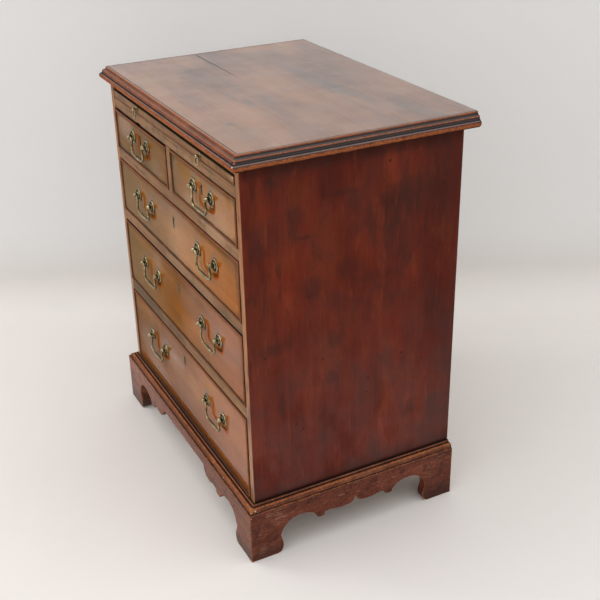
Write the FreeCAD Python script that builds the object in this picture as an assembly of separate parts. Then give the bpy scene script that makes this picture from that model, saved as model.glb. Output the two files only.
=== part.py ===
import FreeCAD, Part
import math
import os
from FreeCAD import Vector as V

# Bachelor's chest: five graduated drawers, a brushing slide, moulded top and bracket plinth.
# Millimetres. +Z up, front faces -Y, origin at the bottom centre of the bounding box.

# ---------------------------------------------------------------- driving dimensions
HEIGHT = 780.0            # overall height
HALF_W = 314.5            # half width over the side boards
CASE_D = 421.0            # depth over the side boards
T_SIDE = 15.0             # side board thickness
TOP_T = 26.0              # top board thickness
TOP_OV = 17.0             # reach of the top's lower bead past the case
TOP_BACK = 23.0           # reach of the top past the case at the back
PL_OV = 18.5              # reach of the plinth face past the case
PL_TOP = 106.0            # top edge of the plinth boards
BM_TOP = 117.0            # top of the base moulding
CASE_BOT = 102.0          # underside of the case

FRONT = -(CASE_D + PL_OV + TOP_BACK) / 2 + PL_OV   # front plane of the case
REAR = FRONT + CASE_D                              # back plane of the side boards
TOP_Z0 = HEIGHT - TOP_T
IN_W = HALF_W - T_SIDE                             # half width between the sides
BACK_T = 9.0
BACK_IN = REAR - 1.0 - BACK_T                      # inner face of the back boards

# openings of the front, bottom and top of each, from the floor
SHORT_Z = (614.5, 701.0)
LONG1_Z = (478.5, 593.5)
LONG2_Z = (313.5, 457.5)
LONG3_Z = (BM_TOP, 291.0)
SLIDE_Z = (723.0, 740.0)   # slot of the brushing slide
RAIL_D = 50.0
DIV_HW = 9.5               # half width of the upright divider

# drawers
GAP_S = 1.2                # gap at each end of a drawer front
GAP_B = 0.6                # gap below
GAP_T = 1.7                # gap above
GAPS_T = {"short_left": 3.2, "long_middle": 2.9, "long_lower": 2.2}     # drawers that have worn down on their runners
FRONT_T = 19.0
BOX_T = 9.0
BOX_BACK_T = 9.0
DRAWER_D = 396.0
BEAD_W = 4.5
BEAD_OUT = 2.2
BEAD_IN = 10.0
BOTTOM_T = 6.5

# handles
POST_SP = 78.0             # distance between the two posts
BALL_T = 7.5               # pivot distance from the drawer face
BALL_R = 4.6
ROSE_R = 13.0
PIN_R = 1.3
WIRE_R = 2.0
GRIP_R = 2.8

# locks and escutcheons
LOCK_HW = 28.0
ESC_R = 4.3                # round top of the keyhole escutcheon
ESC_H = 18.0               # from the round's centre to the foot
ESC_W = 3.9                # half width at the foot

# travels
DRAWER_TRAVEL = 290.0
SLIDE_TRAVEL = 250.0

os.makedirs("parts", exist_ok=True)


# ---------------------------------------------------------------- helpers
def box(x0, x1, y0, y1, z0, z1):
    return Part.makeBox(x1 - x0, y1 - y0, z1 - z0, V(x0, y0, z0))


def prism(points, direction):
    """Extrude a closed polygon of 3-D points along a vector."""
    pts = [V(*p) for p in points]
    face = Part.Face(Part.makePolygon(pts + [pts[0]]))
    return face.extrude(V(*direction))


def cyl(p, axis, r, h):
    return Part.makeCylinder(r, h, V(*p), V(*axis))


def one(shape):
    shape = shape.removeSplitter()
    if len(shape.Solids) == 1:
        return shape.Solids[0]
    return Part.makeCompound(shape.Solids)


def save(name, shapes):
    if not isinstance(shapes, (list, tuple)):
        shapes = [shapes]
    solids = []
    for s in shapes:
        solids += s.Solids
    for s in solids:
        if not s.isValid() or s.Volume <= 0:
            raise RuntimeError("bad solid in " + name)
    out = solids[0] if len(solids) == 1 else Part.makeCompound(solids)
    out.exportStep("parts/%s.step" % name)
    bb = out.BoundBox
    print("%-26s solids %2d vol %.0f  x %.1f..%.1f y %.1f..%.1f z %.1f..%.1f" % (
        name, len(solids), out.Volume, bb.XMin, bb.XMax, bb.YMin, bb.YMax, bb.ZMin, bb.ZMax))
    return out


def profile_face(segments, place):
    edges = []
    for s in segments:
        if s[0] == 'L':
            edges.append(Part.makeLine(place(s[1]), place(s[2])))
        else:
            edges.append(Part.Arc(place(s[1]), place(s[2]), place(s[3])).toShape())
    return Part.Face(Part.Wire(edges))


def front_run(segments, x_end):
    """A moulding along the front, mitred at both ends."""
    face = profile_face(segments, lambda p: V(-x_end, FRONT - p[0], p[1]))
    bar = face.extrude(V(2 * x_end, 0, 0))
    w = 60.0
    wedge = prism([(-HALF_W + 20, FRONT + 20, 0), (HALF_W - 20, FRONT + 20, 0),
                   (HALF_W + w, FRONT - w, 0), (-HALF_W - w, FRONT - w, 0)], (0, 0, HEIGHT + 10))
    return bar.common(wedge)


def side_run(segments, y_end, sign):
    """A moulding along one side, mitred at the front and square at the back."""
    face = profile_face(segments, lambda p: V(sign * (HALF_W + p[0]), FRONT - 60, p[1]))
    bar = face.extrude(V(0, y_end - FRONT + 60, 0))
    w = 60.0
    wedge = prism([(sign * (HALF_W - 20), FRONT + 20, 0), (sign * (HALF_W + w), FRONT - w, 0),
                   (sign * (HALF_W + w), y_end, 0), (sign * (HALF_W - 20), y_end, 0)],
                  (0, 0, HEIGHT + 10))
    return bar.common(wedge)


# ---------------------------------------------------------------- top
top_profile = [
    ('L', (-20.0, TOP_Z0), (12.4, TOP_Z0)),
    ('L', (12.4, TOP_Z0), (13.0, TOP_Z0 + 1.2)),
    ('A', (13.0, TOP_Z0 + 1.2), (TOP_OV, TOP_Z0 + 6.8), (13.5, TOP_Z0 + 12.4)),   # bottom bead
    ('A', (13.5, TOP_Z0 + 12.4), (11.5, TOP_Z0 + 14.4), (11.1, TOP_Z0 + 17.3)),   # lower cove
    ('L', (11.1, TOP_Z0 + 17.3), (10.7, TOP_Z0 + 18.9)),                          # fillet
    ('A', (10.7, TOP_Z0 + 18.9), (6.9, TOP_Z0 + 20.3), (5.2, TOP_Z0 + 23.2)),     # upper cove
    ('L', (5.2, TOP_Z0 + 23.2), (4.6, HEIGHT)),                                   # top fillet
    ('L', (4.6, HEIGHT), (-20.0, HEIGHT)),
    ('L', (-20.0, HEIGHT), (-20.0, TOP_Z0)),
]
top = box(-HALF_W + 20, HALF_W - 20, FRONT + 20, REAR + TOP_BACK, TOP_Z0, HEIGHT)
top = top.fuse([front_run(top_profile, 420), side_run(top_profile, REAR + TOP_BACK, 1),
                side_run(top_profile, REAR + TOP_BACK, -1)])
save("top", one(top))

# ---------------------------------------------------------------- rails and housings
HOUSE = 6.0                       # depth of the housings in the sides
SHOULDER = 8.0                    # the housings stop this far behind the front edges of the sides


def rail(y0, y1, z0, z1):
    """A board housed in both sides, with shoulders so that the sides' front edges run unbroken."""
    b = box(-IN_W - HOUSE, IN_W + HOUSE, y0, y1, z0, z1)
    return b.cut(Part.makeCompound([box(sx, sx + HOUSE + 1, y0 - 1, FRONT + SHOULDER, z0 - 1, z1 + 1)
                                    for sx in (IN_W, -IN_W - HOUSE - 1)]))


slide_rail = rail(FRONT, FRONT + RAIL_D, SHORT_Z[1], SLIDE_Z[0])
rail_levels = [(LONG1_Z[1], SHORT_Z[0]), (LONG2_Z[1], LONG1_Z[0]), (LONG3_Z[1], LONG2_Z[0])]
rails = [rail(FRONT, FRONT + RAIL_D, a, b) for a, b in rail_levels]
top_rails = [rail(FRONT + 2, FRONT + 42, SLIDE_Z[1], TOP_Z0),
             box(-IN_W - HOUSE, IN_W + HOUSE, BACK_IN - 40, BACK_IN, SLIDE_Z[1], TOP_Z0)]
case_bottom = rail(FRONT, BACK_IN, CASE_BOT, BM_TOP)
housings = [slide_rail, case_bottom] + rails + top_rails

# lock mortises in the undersides of the rails
MORT_W, MORT_Y0, MORT_Y1, MORT_H = 14.0, 9.5, 21.0, 9.5
SHORT_CX = (DIV_HW + IN_W) / 2


def mortise(cx, z):
    return box(cx - MORT_W, cx + MORT_W, FRONT + MORT_Y0, FRONT + MORT_Y1, z - 1, z + MORT_H)


slide_rail = slide_rail.cut(Part.makeCompound([mortise(-SHORT_CX, SHORT_Z[1]), mortise(SHORT_CX, SHORT_Z[1])]))
rails = [r.cut(mortise(0, a)) for r, (a, b) in zip(rails, rail_levels)]
# the lower arris is worn away in front of the left-hand lock
worn = prism([(-SHORT_CX - 13.0, FRONT - 1, SHORT_Z[1] - 1), (-SHORT_CX - 10.0, FRONT - 1, SHORT_Z[1] + 2.6),
              (-SHORT_CX + 8.5, FRONT - 1, SHORT_Z[1] + 2.2), (-SHORT_CX + 13.0, FRONT - 1, SHORT_Z[1] - 1)], (0, 7.0, 0))
slide_rail = slide_rail.cut(worn)
save("slide_rail", slide_rail)
save("drawer_rails", rails)

for sign, name in ((-1, "side_left"), (1, "side_right")):
    x0, x1 = sorted((sign * IN_W, sign * HALF_W))
    board = box(x0, x1, FRONT, REAR, CASE_BOT, TOP_Z0)
    rx0, rx1 = sorted((sign * (IN_W - 1), sign * (IN_W + HOUSE)))
    rabbet = box(rx0, rx1, BACK_IN, REAR + 1, CASE_BOT - 1, TOP_Z0 + 1)
    board = board.cut(Part.makeCompound(housings)).cut(rabbet)
    save(name, one(board))

# back: three upright boards in the rabbets
bw = IN_W + HOUSE
edges_x = [-bw, -bw + 2 * bw / 3.0, bw - 2 * bw / 3.0, bw]
back = [box(edges_x[i] + (0.6 if i else 0.0), edges_x[i + 1] - (0.6 if i < 2 else 0.0),
            BACK_IN, REAR - 1, CASE_BOT, TOP_Z0) for i in range(3)]
save("back_boards", back)

# upright divider between the short drawers, with the guide strip behind it
divider = box(-DIV_HW, DIV_HW, FRONT, FRONT + RAIL_D, SHORT_Z[0], SHORT_Z[1])
guide = box(-DIV_HW, DIV_HW, FRONT + RAIL_D, BACK_IN, SHORT_Z[0], SHORT_Z[0] + 26)
save("centre_divider", [divider, guide])

# runners, with the drawer stops on the rails
RUN_W = 28.0
runners = []
for z in (SLIDE_Z[0], SHORT_Z[0], LONG1_Z[0], LONG2_Z[0]):
    for sign in (-1, 1):
        x0, x1 = sorted((sign * IN_W, sign * (IN_W - RUN_W)))
        runners.append(box(x0, x1, FRONT + RAIL_D, BACK_IN, z - 17.0, z))
runners.append(box(-24, 24, FRONT + RAIL_D, BACK_IN, SHORT_Z[0] - 17.0, SHORT_Z[0]))
runners.append(box(-14, 14, FRONT + RAIL_D, BACK_IN, SLIDE_Z[0] - 17.0, SLIDE_Z[0]))
stop_spots = [(SHORT_Z[0], -230), (SHORT_Z[0], -85), (SHORT_Z[0], 85), (SHORT_Z[0], 230),
              (LONG1_Z[0], -150), (LONG1_Z[0], 150), (LONG2_Z[0], -150), (LONG2_Z[0], 150),
              (LONG3_Z[0], -150), (LONG3_Z[0], 150)]
stops = [box(x - 17, x + 17, FRONT + 20, FRONT + 33, z, z + 4.0) for z, x in stop_spots]

# dustboards between the rows
dust = []
for i, z in enumerate((SHORT_Z[0], LONG1_Z[0], LONG2_Z[0])):
    z1 = z - 5.0
    spans = [(-IN_W + RUN_W, IN_W - RUN_W)] if i else [(-IN_W + RUN_W, -24), (24, IN_W - RUN_W)]
    for a, b in spans:
        dust.append(box(a, b, FRONT + RAIL_D, BACK_IN, z1 - 7.0, z1))

# ---------------------------------------------------------------- base moulding and plinth
base_profile = [
    ('L', (0.0, PL_TOP), (15.2, PL_TOP)),
    ('L', (15.2, PL_TOP), (15.2, PL_TOP + 1.1)),
    ('A', (15.2, PL_TOP + 1.1), (12.8, PL_TOP + 6.2), (7.0, PL_TOP + 8.0)),   # wide ovolo
    ('L', (7.0, PL_TOP + 8.0), (5.7, PL_TOP + 7.1)),
    ('L', (5.7, PL_TOP + 7.1), (5.5, PL_TOP + 8.6)),
    ('A', (5.5, PL_TOP + 8.6), (4.9, PL_TOP + 9.9), (3.2, BM_TOP)),          # small bead
    ('L', (3.2, BM_TOP), (0.0, BM_TOP)),
    ('L', (0.0, BM_TOP), (0.0, PL_TOP)),
]
save("base_moulding", [one(front_run(base_profile, 400)), one(side_run(base_profile, REAR, 1)),
                       one(side_run(base_profile, REAR, -1))])

AP_S = (HALF_W + PL_OV) / 336.5      # the front outline is drawn for a half length of 336.5
# half outline of the apron's lower edge, from the middle out to the foot, (distance, z)
front_apron = [
    ('L', [(0, 81.0), (112.0, 81.0)]),
    ('A', [(112.0, 81.0), (118.0, 66.0), (132.0, 58.2)]),
    ('A', [(132.0, 58.2), (141.0, 57.6), (150.0, 60.0)]),
    ('A', [(150.0, 60.0), (160.0, 62.2), (172.0, 60.2)]),
    ('L', [(172.0, 60.2), (174.5, 53.6)]),
    ('A', [(174.5, 53.6), (183.0, 51.4), (192.0, 53.0)]),
    ('L', [(192.0, 53.0), (194.5, 59.0)]),
    ('S', [(194.5, 59.0), (206.0, 67.5), (220.0, 72.2), (236.0, 73.6), (250.0, 70.2), (260.5, 62.5),
           (267.0, 52.5), (271.5, 39.5)]),
    ('S', [(271.5, 39.5), (268.6, 31.0), (265.2, 23.0), (264.0, 14.5), (265.6, 7.0), (269.5, 2.0)]),
    ('L', [(269.5, 2.0), (275.0, 0.0)]),
]
side_apron = [
    ('S', [(0, 73.0), (2.6, 66.5), (7.0, 61.0), (13.5, 58.0), (24.0, 57.0)]),
    ('S', [(24.0, 57.0), (36.0, 57.6), (48.0, 60.0), (59.0, 60.8), (66.0, 59.0)]),
    ('L', [(66.0, 59.0), (67.5, 52.8)]),
    ('A', [(67.5, 52.8), (74.0, 51.2), (81.0, 52.4)]),
    ('L', [(81.0, 52.4), (83.0, 58.4)]),
    ('S', [(83.0, 58.4), (92.0, 66.5), (105.0, 71.6), (120.0, 72.8), (134.0, 70.0), (145.0, 63.0),
           (153.0, 53.5), (158.5, 41.0)]),
    ('S', [(158.5, 41.0), (156.8, 33.0), (154.4, 25.0), (153.8, 16.0), (155.6, 8.0), (160.0, 2.2)]),
    ('L', [(160.0, 2.2), (166.0, 0.0)]),
]


def apron_board(half, half_len, place, thick, z_top):
    """Board with a shaped lower edge. place maps (s, z) to a point, thick is the extrusion."""
    edges = []
    for sign in (1, -1):
        chain = []
        for kind, pts in half:
            P = [place(sign * s, z) for s, z in pts]
            if kind == 'L':
                chain.append(Part.makeLine(P[0], P[1]))
            elif kind == 'A':
                chain.append(Part.Arc(P[0], P[1], P[2]).toShape())
            else:
                c = Part.BSplineCurve()
                c.interpolate(P)
                chain.append(c.toShape())
        last = half[-1][1][-1]
        chain.append(Part.makeLine(place(sign * last[0], last[1]), place(sign * half_len, 0)))
        chain.append(Part.makeLine(place(sign * half_len, 0), place(sign * half_len, z_top)))
        edges.append(chain)
    wire_edges = list(reversed(edges[1])) + edges[0] + \
        [Part.makeLine(place(half_len, z_top), place(-half_len, z_top))]
    wire = Part.Wire(Part.__sortEdges__(wire_edges))
    return Part.Face(wire).extrude(thick)


hl = HALF_W + PL_OV
front_apron = [(k, [(a * AP_S, b) for a, b in pts]) for k, pts in front_apron]
plf = apron_board(front_apron, hl, lambda s, z: V(s, FRONT - PL_OV, z), V(0, PL_OV, 0), PL_TOP)
wedge = prism([(-HALF_W, FRONT, 0), (HALF_W, FRONT, 0), (HALF_W + 40, FRONT - 40, 0),
               (-HALF_W - 40, FRONT - 40, 0)], (0, 0, PL_TOP + 5))
save("plinth_front", one(plf.common(wedge)))
SIDE_C = (FRONT - PL_OV + REAR) / 2
SIDE_HL = (REAR - FRONT + PL_OV) / 2
for sign, name in ((-1, "plinth_left"), (1, "plinth_right")):
    b = apron_board(side_apron, SIDE_HL, lambda s, z: V(sign * HALF_W, SIDE_C + s, z), V(sign * PL_OV, 0, 0), PL_TOP)
    w = prism([(sign * HALF_W, FRONT, 0), (sign * (HALF_W + 40), FRONT - 40, 0),
               (sign * (HALF_W + 40), REAR + 5, 0), (sign * HALF_W, REAR + 5, 0)], (0, 0, PL_TOP + 5))
    save(name, one(b.common(w)))

# rear foot brackets, set between the side plinths below the case
brackets = []
for sign in (-1, 1):
    pts = [(HALF_W, CASE_BOT), (HALF_W - 96, CASE_BOT), (HALF_W - 92, 84), (HALF_W - 70, 70), (HALF_W - 52, 50),
           (HALF_W - 44, 26), (HALF_W - 44, 0), (HALF_W, 0)]
    brackets.append(prism([(sign * x, REAR - 22, z) for x, z in pts], (0, 18, 0)))
save("rear_foot_brackets", brackets)

# glue blocks under the case, behind the plinth
blocks = []
for sign in (-1, 1):
    x0, x1 = sorted((sign * HALF_W, sign * (HALF_W - 30)))
    blocks.append(box(x0, x1, FRONT, FRONT + 30, 2.0, CASE_BOT))
    for yc in (-75.0, 45.0):
        x0, x1 = sorted((sign * HALF_W, sign * (HALF_W - 16)))
        blocks.append(box(x0, x1, yc - 38, yc + 38, 86.0, CASE_BOT))
for xc in (-180.0, -60.0, 60.0, 180.0):
    blocks.append(box(xc - 38, xc + 38, FRONT, FRONT + 16, 86.0, CASE_BOT))
save("inner_rails_boards_and_blocks", top_rails + [case_bottom] + runners + stops + dust + blocks)


# ---------------------------------------------------------------- brass fittings
def rose_solid(cx, z):
    """Round dished rose with a centre boss, bored for the post's shank."""
    prof = [(2.05, 0.0), (13.0, 0.0), (13.0, 0.9), (12.3, 2.0), (11.3, 2.4), (10.4, 1.9), (9.4, 1.1), (7.6, 1.1),
            (6.4, 1.7), (5.4, 2.8), (4.0, 3.3), (2.05, 3.3)]
    s = ROSE_R / 13.0
    pts = [V(cx + r * (s if r > 2.1 else 1.0), FRONT - t, z) for r, t in prof]
    face = Part.Face(Part.makePolygon(pts + [pts[0]]))
    return face.revolve(V(cx, FRONT, z), V(0, 1, 0), 360)


def post_solid(cx, z):
    """Turned post: shank, neck, ball with a cross bore for the bail's pin, small button."""
    prof = [(0.0, 24.0), (2.0, 24.0), (2.0, -3.3), (3.2, -3.3), (2.5, -4.1)]
    pts = [V(cx + r, FRONT + y, z) for r, y in prof]
    pts.append(V(cx, FRONT - 4.1, z))
    stem = Part.Face(Part.makePolygon(pts + [pts[0]])).revolve(V(cx, FRONT, z), V(0, 1, 0), 360)
    neck = cyl((cx, FRONT - 4.0, z), (0, -1, 0), 2.5, 1.5)
    ball = Part.makeSphere(BALL_R, V(cx, FRONT - BALL_T, z))
    tip = cyl((cx, FRONT - BALL_T - BALL_R + 0.4, z), (0, -1, 0), 1.5, 1.0)
    body = stem.fuse([neck, ball, tip])
    hole = cyl((cx - 10, FRONT - BALL_T, z), (1, 0, 0), PIN_R + 0.4, 20)
    return one(body.cut(hole))


def nut_solid(cx, z):
    n = box(cx - 5, cx + 5, FRONT + FRONT_T, FRONT + FRONT_T + 3, z - 5, z + 5)
    return n.cut(cyl((cx, FRONT, z), (0, 1, 0), 2.05, 40))


def keyhole_prism(cx, z, r, h, w, y0, y1):
    """Keyhole outline: a round top and a flared skirt below it."""
    c = cyl((cx, y0, z), (0, 1, 0), r, y1 - y0)
    sk = prism([(cx - r * 0.62, y0, z), (cx + r * 0.62, y0, z), (cx + w, y0, z - h), (cx - w, y0, z - h)],
               (0, y1 - y0, 0))
    return c.fuse(sk)


def escutcheon_solid(cx, z):
    outer = keyhole_prism(cx, z, ESC_R, ESC_H, ESC_W, FRONT, FRONT + 4.0)
    inner = keyhole_prism(cx, z, ESC_R - 1.3, ESC_H - 1.2, ESC_W - 1.3, FRONT - 1, FRONT + 5.0)
    return one(outer.cut(inner))


def bail_solid(cx, z):
    """Swan-neck bail: pins, S-curved arms and a thicker grip, hanging from the posts."""
    y = FRONT - BALL_T
    h = POST_SP / 2

    def P(u, v):
        return V(cx + u, y, z + v)

    r1, r2 = 5.2, 10.5
    u0 = h - 5.7                       # inner end of the pin
    uA = u0 - 0.5
    a = math.radians(105)
    A0 = (uA, 0.0)
    Am = (uA - r1 * math.sin(a / 2), -r1 + r1 * math.cos(a / 2))
    A1 = (uA - r1 * math.sin(a), -r1 + r1 * math.cos(a))
    L = 13.0
    B1 = (A1[0] - math.cos(a) * L, A1[1] - math.sin(a) * L)
    C = (B1[0] - math.sin(a) * r2, B1[1] + math.cos(a) * r2)
    # arc C sweeps from the radius angle +15 deg to -90 deg about its centre
    Cm = (C[0] + r2 * math.cos(math.radians(-37.5)), C[1] + r2 * math.sin(math.radians(-37.5)))
    C1 = (C[0], C[1] - r2)
    edges = []
    for s in (1, -1):
        side = [Part.makeLine(P(s * u0, 0), P(s * A0[0], 0)),
                Part.Arc(P(s * A0[0], A0[1]), P(s * Am[0], Am[1]), P(s * A1[0], A1[1])).toShape(),
                Part.makeLine(P(s * A1[0], A1[1]), P(s * B1[0], B1[1])),
                Part.Arc(P(s * B1[0], B1[1]), P(s * Cm[0], Cm[1]), P(s * C1[0], C1[1])).toShape()]
        edges.append(side if s == 1 else [e for e in reversed(side)])
    path = Part.Wire(Part.__sortEdges__(edges[0] + [Part.makeLine(P(C1[0], C1[1]), P(-C1[0], C1[1]))] + edges[1]))
    start = path.OrderedVertexes[0].Point
    sx = 1 if start.x > cx else -1
    circ = Part.Wire(Part.makeCircle(WIRE_R, start, V(-sx, 0, 0)))
    tube = path.makePipeShell([circ], True, True)
    if tube.ShapeType != "Solid":
        tube = Part.makeSolid(tube)
    if tube.Volume < 0:
        tube.reverse()
    pins = [cyl((cx + s * (u0 - 0.4), y, z), (s, 0, 0), PIN_R, h + BALL_R - 0.4 - u0 + 0.4) for s in (1, -1)]
    zc = z + C1[1]
    grip = cyl((cx - 11, y, zc), (1, 0, 0), GRIP_R, 22)
    cones = [Part.makeCone(GRIP_R, WIRE_R, 9, V(cx + s * 11, y, zc), V(s, 0, 0)) for s in (1, -1)]
    return one(tube.fuse(pins + [grip] + cones))


# ---------------------------------------------------------------- drawers
def dovetails(z0, z1, n, x0, x1):
    """Tails at a side's front end, let into the back of the drawer front."""
    out = []
    pitch = (z1 - z0) / n
    ya, yb = FRONT + FRONT_T - 12.0, FRONT + FRONT_T
    for i in range(n):
        c = z0 + (i + 0.5) * pitch
        wf, wb = pitch * 0.40, pitch * 0.31
        out.append(prism([(x0, ya, c - wf), (x0, yb, c - wb), (x0, yb, c + wb), (x0, ya, c + wf)], (x1 - x0, 0, 0)))
    return out


def drawer(name, xa, xb, zr, handles, hz, key_z, tails):
    """One drawer between xa and xb in the opening zr; handles at the given centres."""
    x0, x1 = xa + GAP_S, xb - GAP_S
    z0, z1 = zr[0] + GAP_B, zr[1] - GAPS_T.get(name, GAP_T)
    cx = (x0 + x1) / 2
    # front with a rebate round its edges for the cock bead
    front = box(x0, x1, FRONT, FRONT + FRONT_T, z0, z1)
    reb = box(x0 - 1, x1 + 1, FRONT - 1, FRONT + BEAD_IN, z0 - 1, z1 + 1).cut(
        box(x0 + BEAD_W, x1 - BEAD_W, FRONT - 2, FRONT + BEAD_IN + 1, z0 + BEAD_W, z1 - BEAD_W))
    front = front.cut(reb)

    # cock beads: four mitred strips with a rounded nose
    r = BEAD_W / 2

    def strip(place, direction):
        yf = FRONT - BEAD_OUT
        e = [Part.makeLine(place(0, FRONT + BEAD_IN), place(0, yf + r)),
             Part.Arc(place(0, yf + r), place(r, yf), place(BEAD_W, yf + r)).toShape(),
             Part.makeLine(place(BEAD_W, yf + r), place(BEAD_W, FRONT + BEAD_IN)),
             Part.makeLine(place(BEAD_W, FRONT + BEAD_IN), place(0, FRONT + BEAD_IN))]
        return Part.Face(Part.Wire(e)).extrude(direction)

    ww, hh = x1 - x0, z1 - z0
    y0, yd = FRONT - 5, 25
    m = min(ww, hh) / 2 - 1
    beads = []
    for s, edge in ((1, z0), (-1, z1)):
        bar = strip(lambda a, y, s=s, edge=edge: V(x0, y, edge + s * a), V(ww, 0, 0))
        tri = prism([(x0, y0, edge), (x1, y0, edge), (x1 - m, y0, edge + s * m), (x0 + m, y0, edge + s * m)], (0, yd, 0))
        beads.append(bar.common(tri))
    for s, edge in ((1, x0), (-1, x1)):
        bar = strip(lambda a, y, s=s, edge=edge: V(edge + s * a, y, z0), V(0, 0, hh))
        tri = prism([(edge, y0, z0), (edge, y0, z1), (edge + s * m, y0, z1 - m), (edge + s * m, y0, z0 + m)], (0, yd, 0))
        beads.append(bar.common(tri))
    save(name + "_cock_beads", beads)

    # box: two sides with dovetails, back and bottom
    sz0, sz1 = z0, z1 - 4.0
    yb0, yb1 = FRONT + FRONT_T, FRONT + DRAWER_D
    sides = []
    for sgn, xo in ((1, x0), (-1, x1)):
        xi = xo + sgn * BOX_T
        lo, hi = sorted((xo, xi))
        # the tails stand behind the bead rebate
        t = dovetails(sz0 + BEAD_W, sz1, tails, lo, hi)
        t = [q.common(box(lo, hi, FRONT + BEAD_IN, FRONT + FRONT_T, sz0, sz1)) for q in t]
        side = one(box(lo, hi, yb0, yb1, sz0, sz1).fuse(t))
        groove = box(min(xi, xi - sgn * 4), max(xi, xi - sgn * 4), yb0 - 1, yb1 + 1, sz0 + 7.0, sz0 + 7.0 + BOTTOM_T)
        side = one(side.cut(groove.common(box(x0, x1, yb0, yb1 + 1, sz0, sz1))))
        sides.append(side)
        front = front.cut(Part.makeCompound(t))
    back_p = box(x0 + BOX_T, x1 - BOX_T, yb1 - BOX_BACK_T, yb1, sz0 + 7.0 + BOTTOM_T, sz1 - 3.0)
    bottom = box(x0 + BOX_T - 4, x1 - BOX_T + 4, yb0, yb1, sz0 + 7.0, sz0 + 7.0 + BOTTOM_T)

    # lock, let into the back of the front, with its bolt in the front's top edge
    lock_y0, lock_y1 = FRONT + BEAD_IN, FRONT + FRONT_T + 1.5
    lz0, lz1 = key_z - 21.0, z1
    case = box(cx - LOCK_HW, cx + LOCK_HW, lock_y0, lock_y1, lz0, lz1)
    front = front.cut(box(cx - LOCK_HW, cx + LOCK_HW, lock_y0, FRONT + FRONT_T + 5, lz0, lz1 + 1))
    bolt_slot = box(cx - 11.5, cx + 11.5, lock_y0 + 1.6, lock_y0 + 8.6, lz1 - 20.0, lz1 + 5)
    keyway = keyhole_prism(cx, key_z, 2.5, 15.0, 2.1, FRONT - 2, lock_y1 - 2.0)
    case = one(case.cut(bolt_slot).cut(keyway))
    bolt = box(cx - 11.0, cx + 11.0, lock_y0 + 2.0, lock_y0 + 8.2, lz1 - 12.0, lz1 - 0.5)
    front = front.cut(keyway)
    esc = escutcheon_solid(cx, key_z)
    front = front.cut(keyhole_prism(cx, key_z, ESC_R, ESC_H, ESC_W, FRONT - 1, FRONT + 4.0))

    fittings = []
    for hx in handles:
        for s in (-1, 1):
            px = hx + s * POST_SP / 2
            front = front.cut(cyl((px, FRONT - 5, hz), (0, 1, 0), 2.05, 40))
            fittings += [rose_solid(px, hz), post_solid(px, hz), nut_solid(px, hz)]
    save(name + "_front", one(front))
    save(name + "_box", sides + [back_p, bottom])
    save(name + "_escutcheon", esc)
    save(name + "_fittings", fittings)
    save(name + "_lock", case)
    save(name + "_lock_bolt", bolt)
    for i, hx in enumerate(handles):
        tag = "" if len(handles) == 1 else ("_left" if i == 0 else "_right")
        save(name + "_bail" + tag, bail_solid(hx, hz))
    return dict(x=(x0, x1), z=(z0, z1), cx=cx)


drawer("short_left", -IN_W, -DIV_HW, SHORT_Z, [-157.0], 666.6, 675.5, 2)
drawer("short_right", DIV_HW, IN_W, SHORT_Z, [157.0], 666.6, 675.5, 2)
drawer("long_upper", -IN_W, IN_W, LONG1_Z, [-156.0, 156.0], 545.0, 561.5, 3)
drawer("long_middle", -IN_W, IN_W, LONG2_Z, [-153.0, 153.0], 395.8, 422.5, 4)
drawer("long_lower", -IN_W, IN_W, LONG3_Z, [-150.0, 150.0], 226.0, 263.0, 5)

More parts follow.
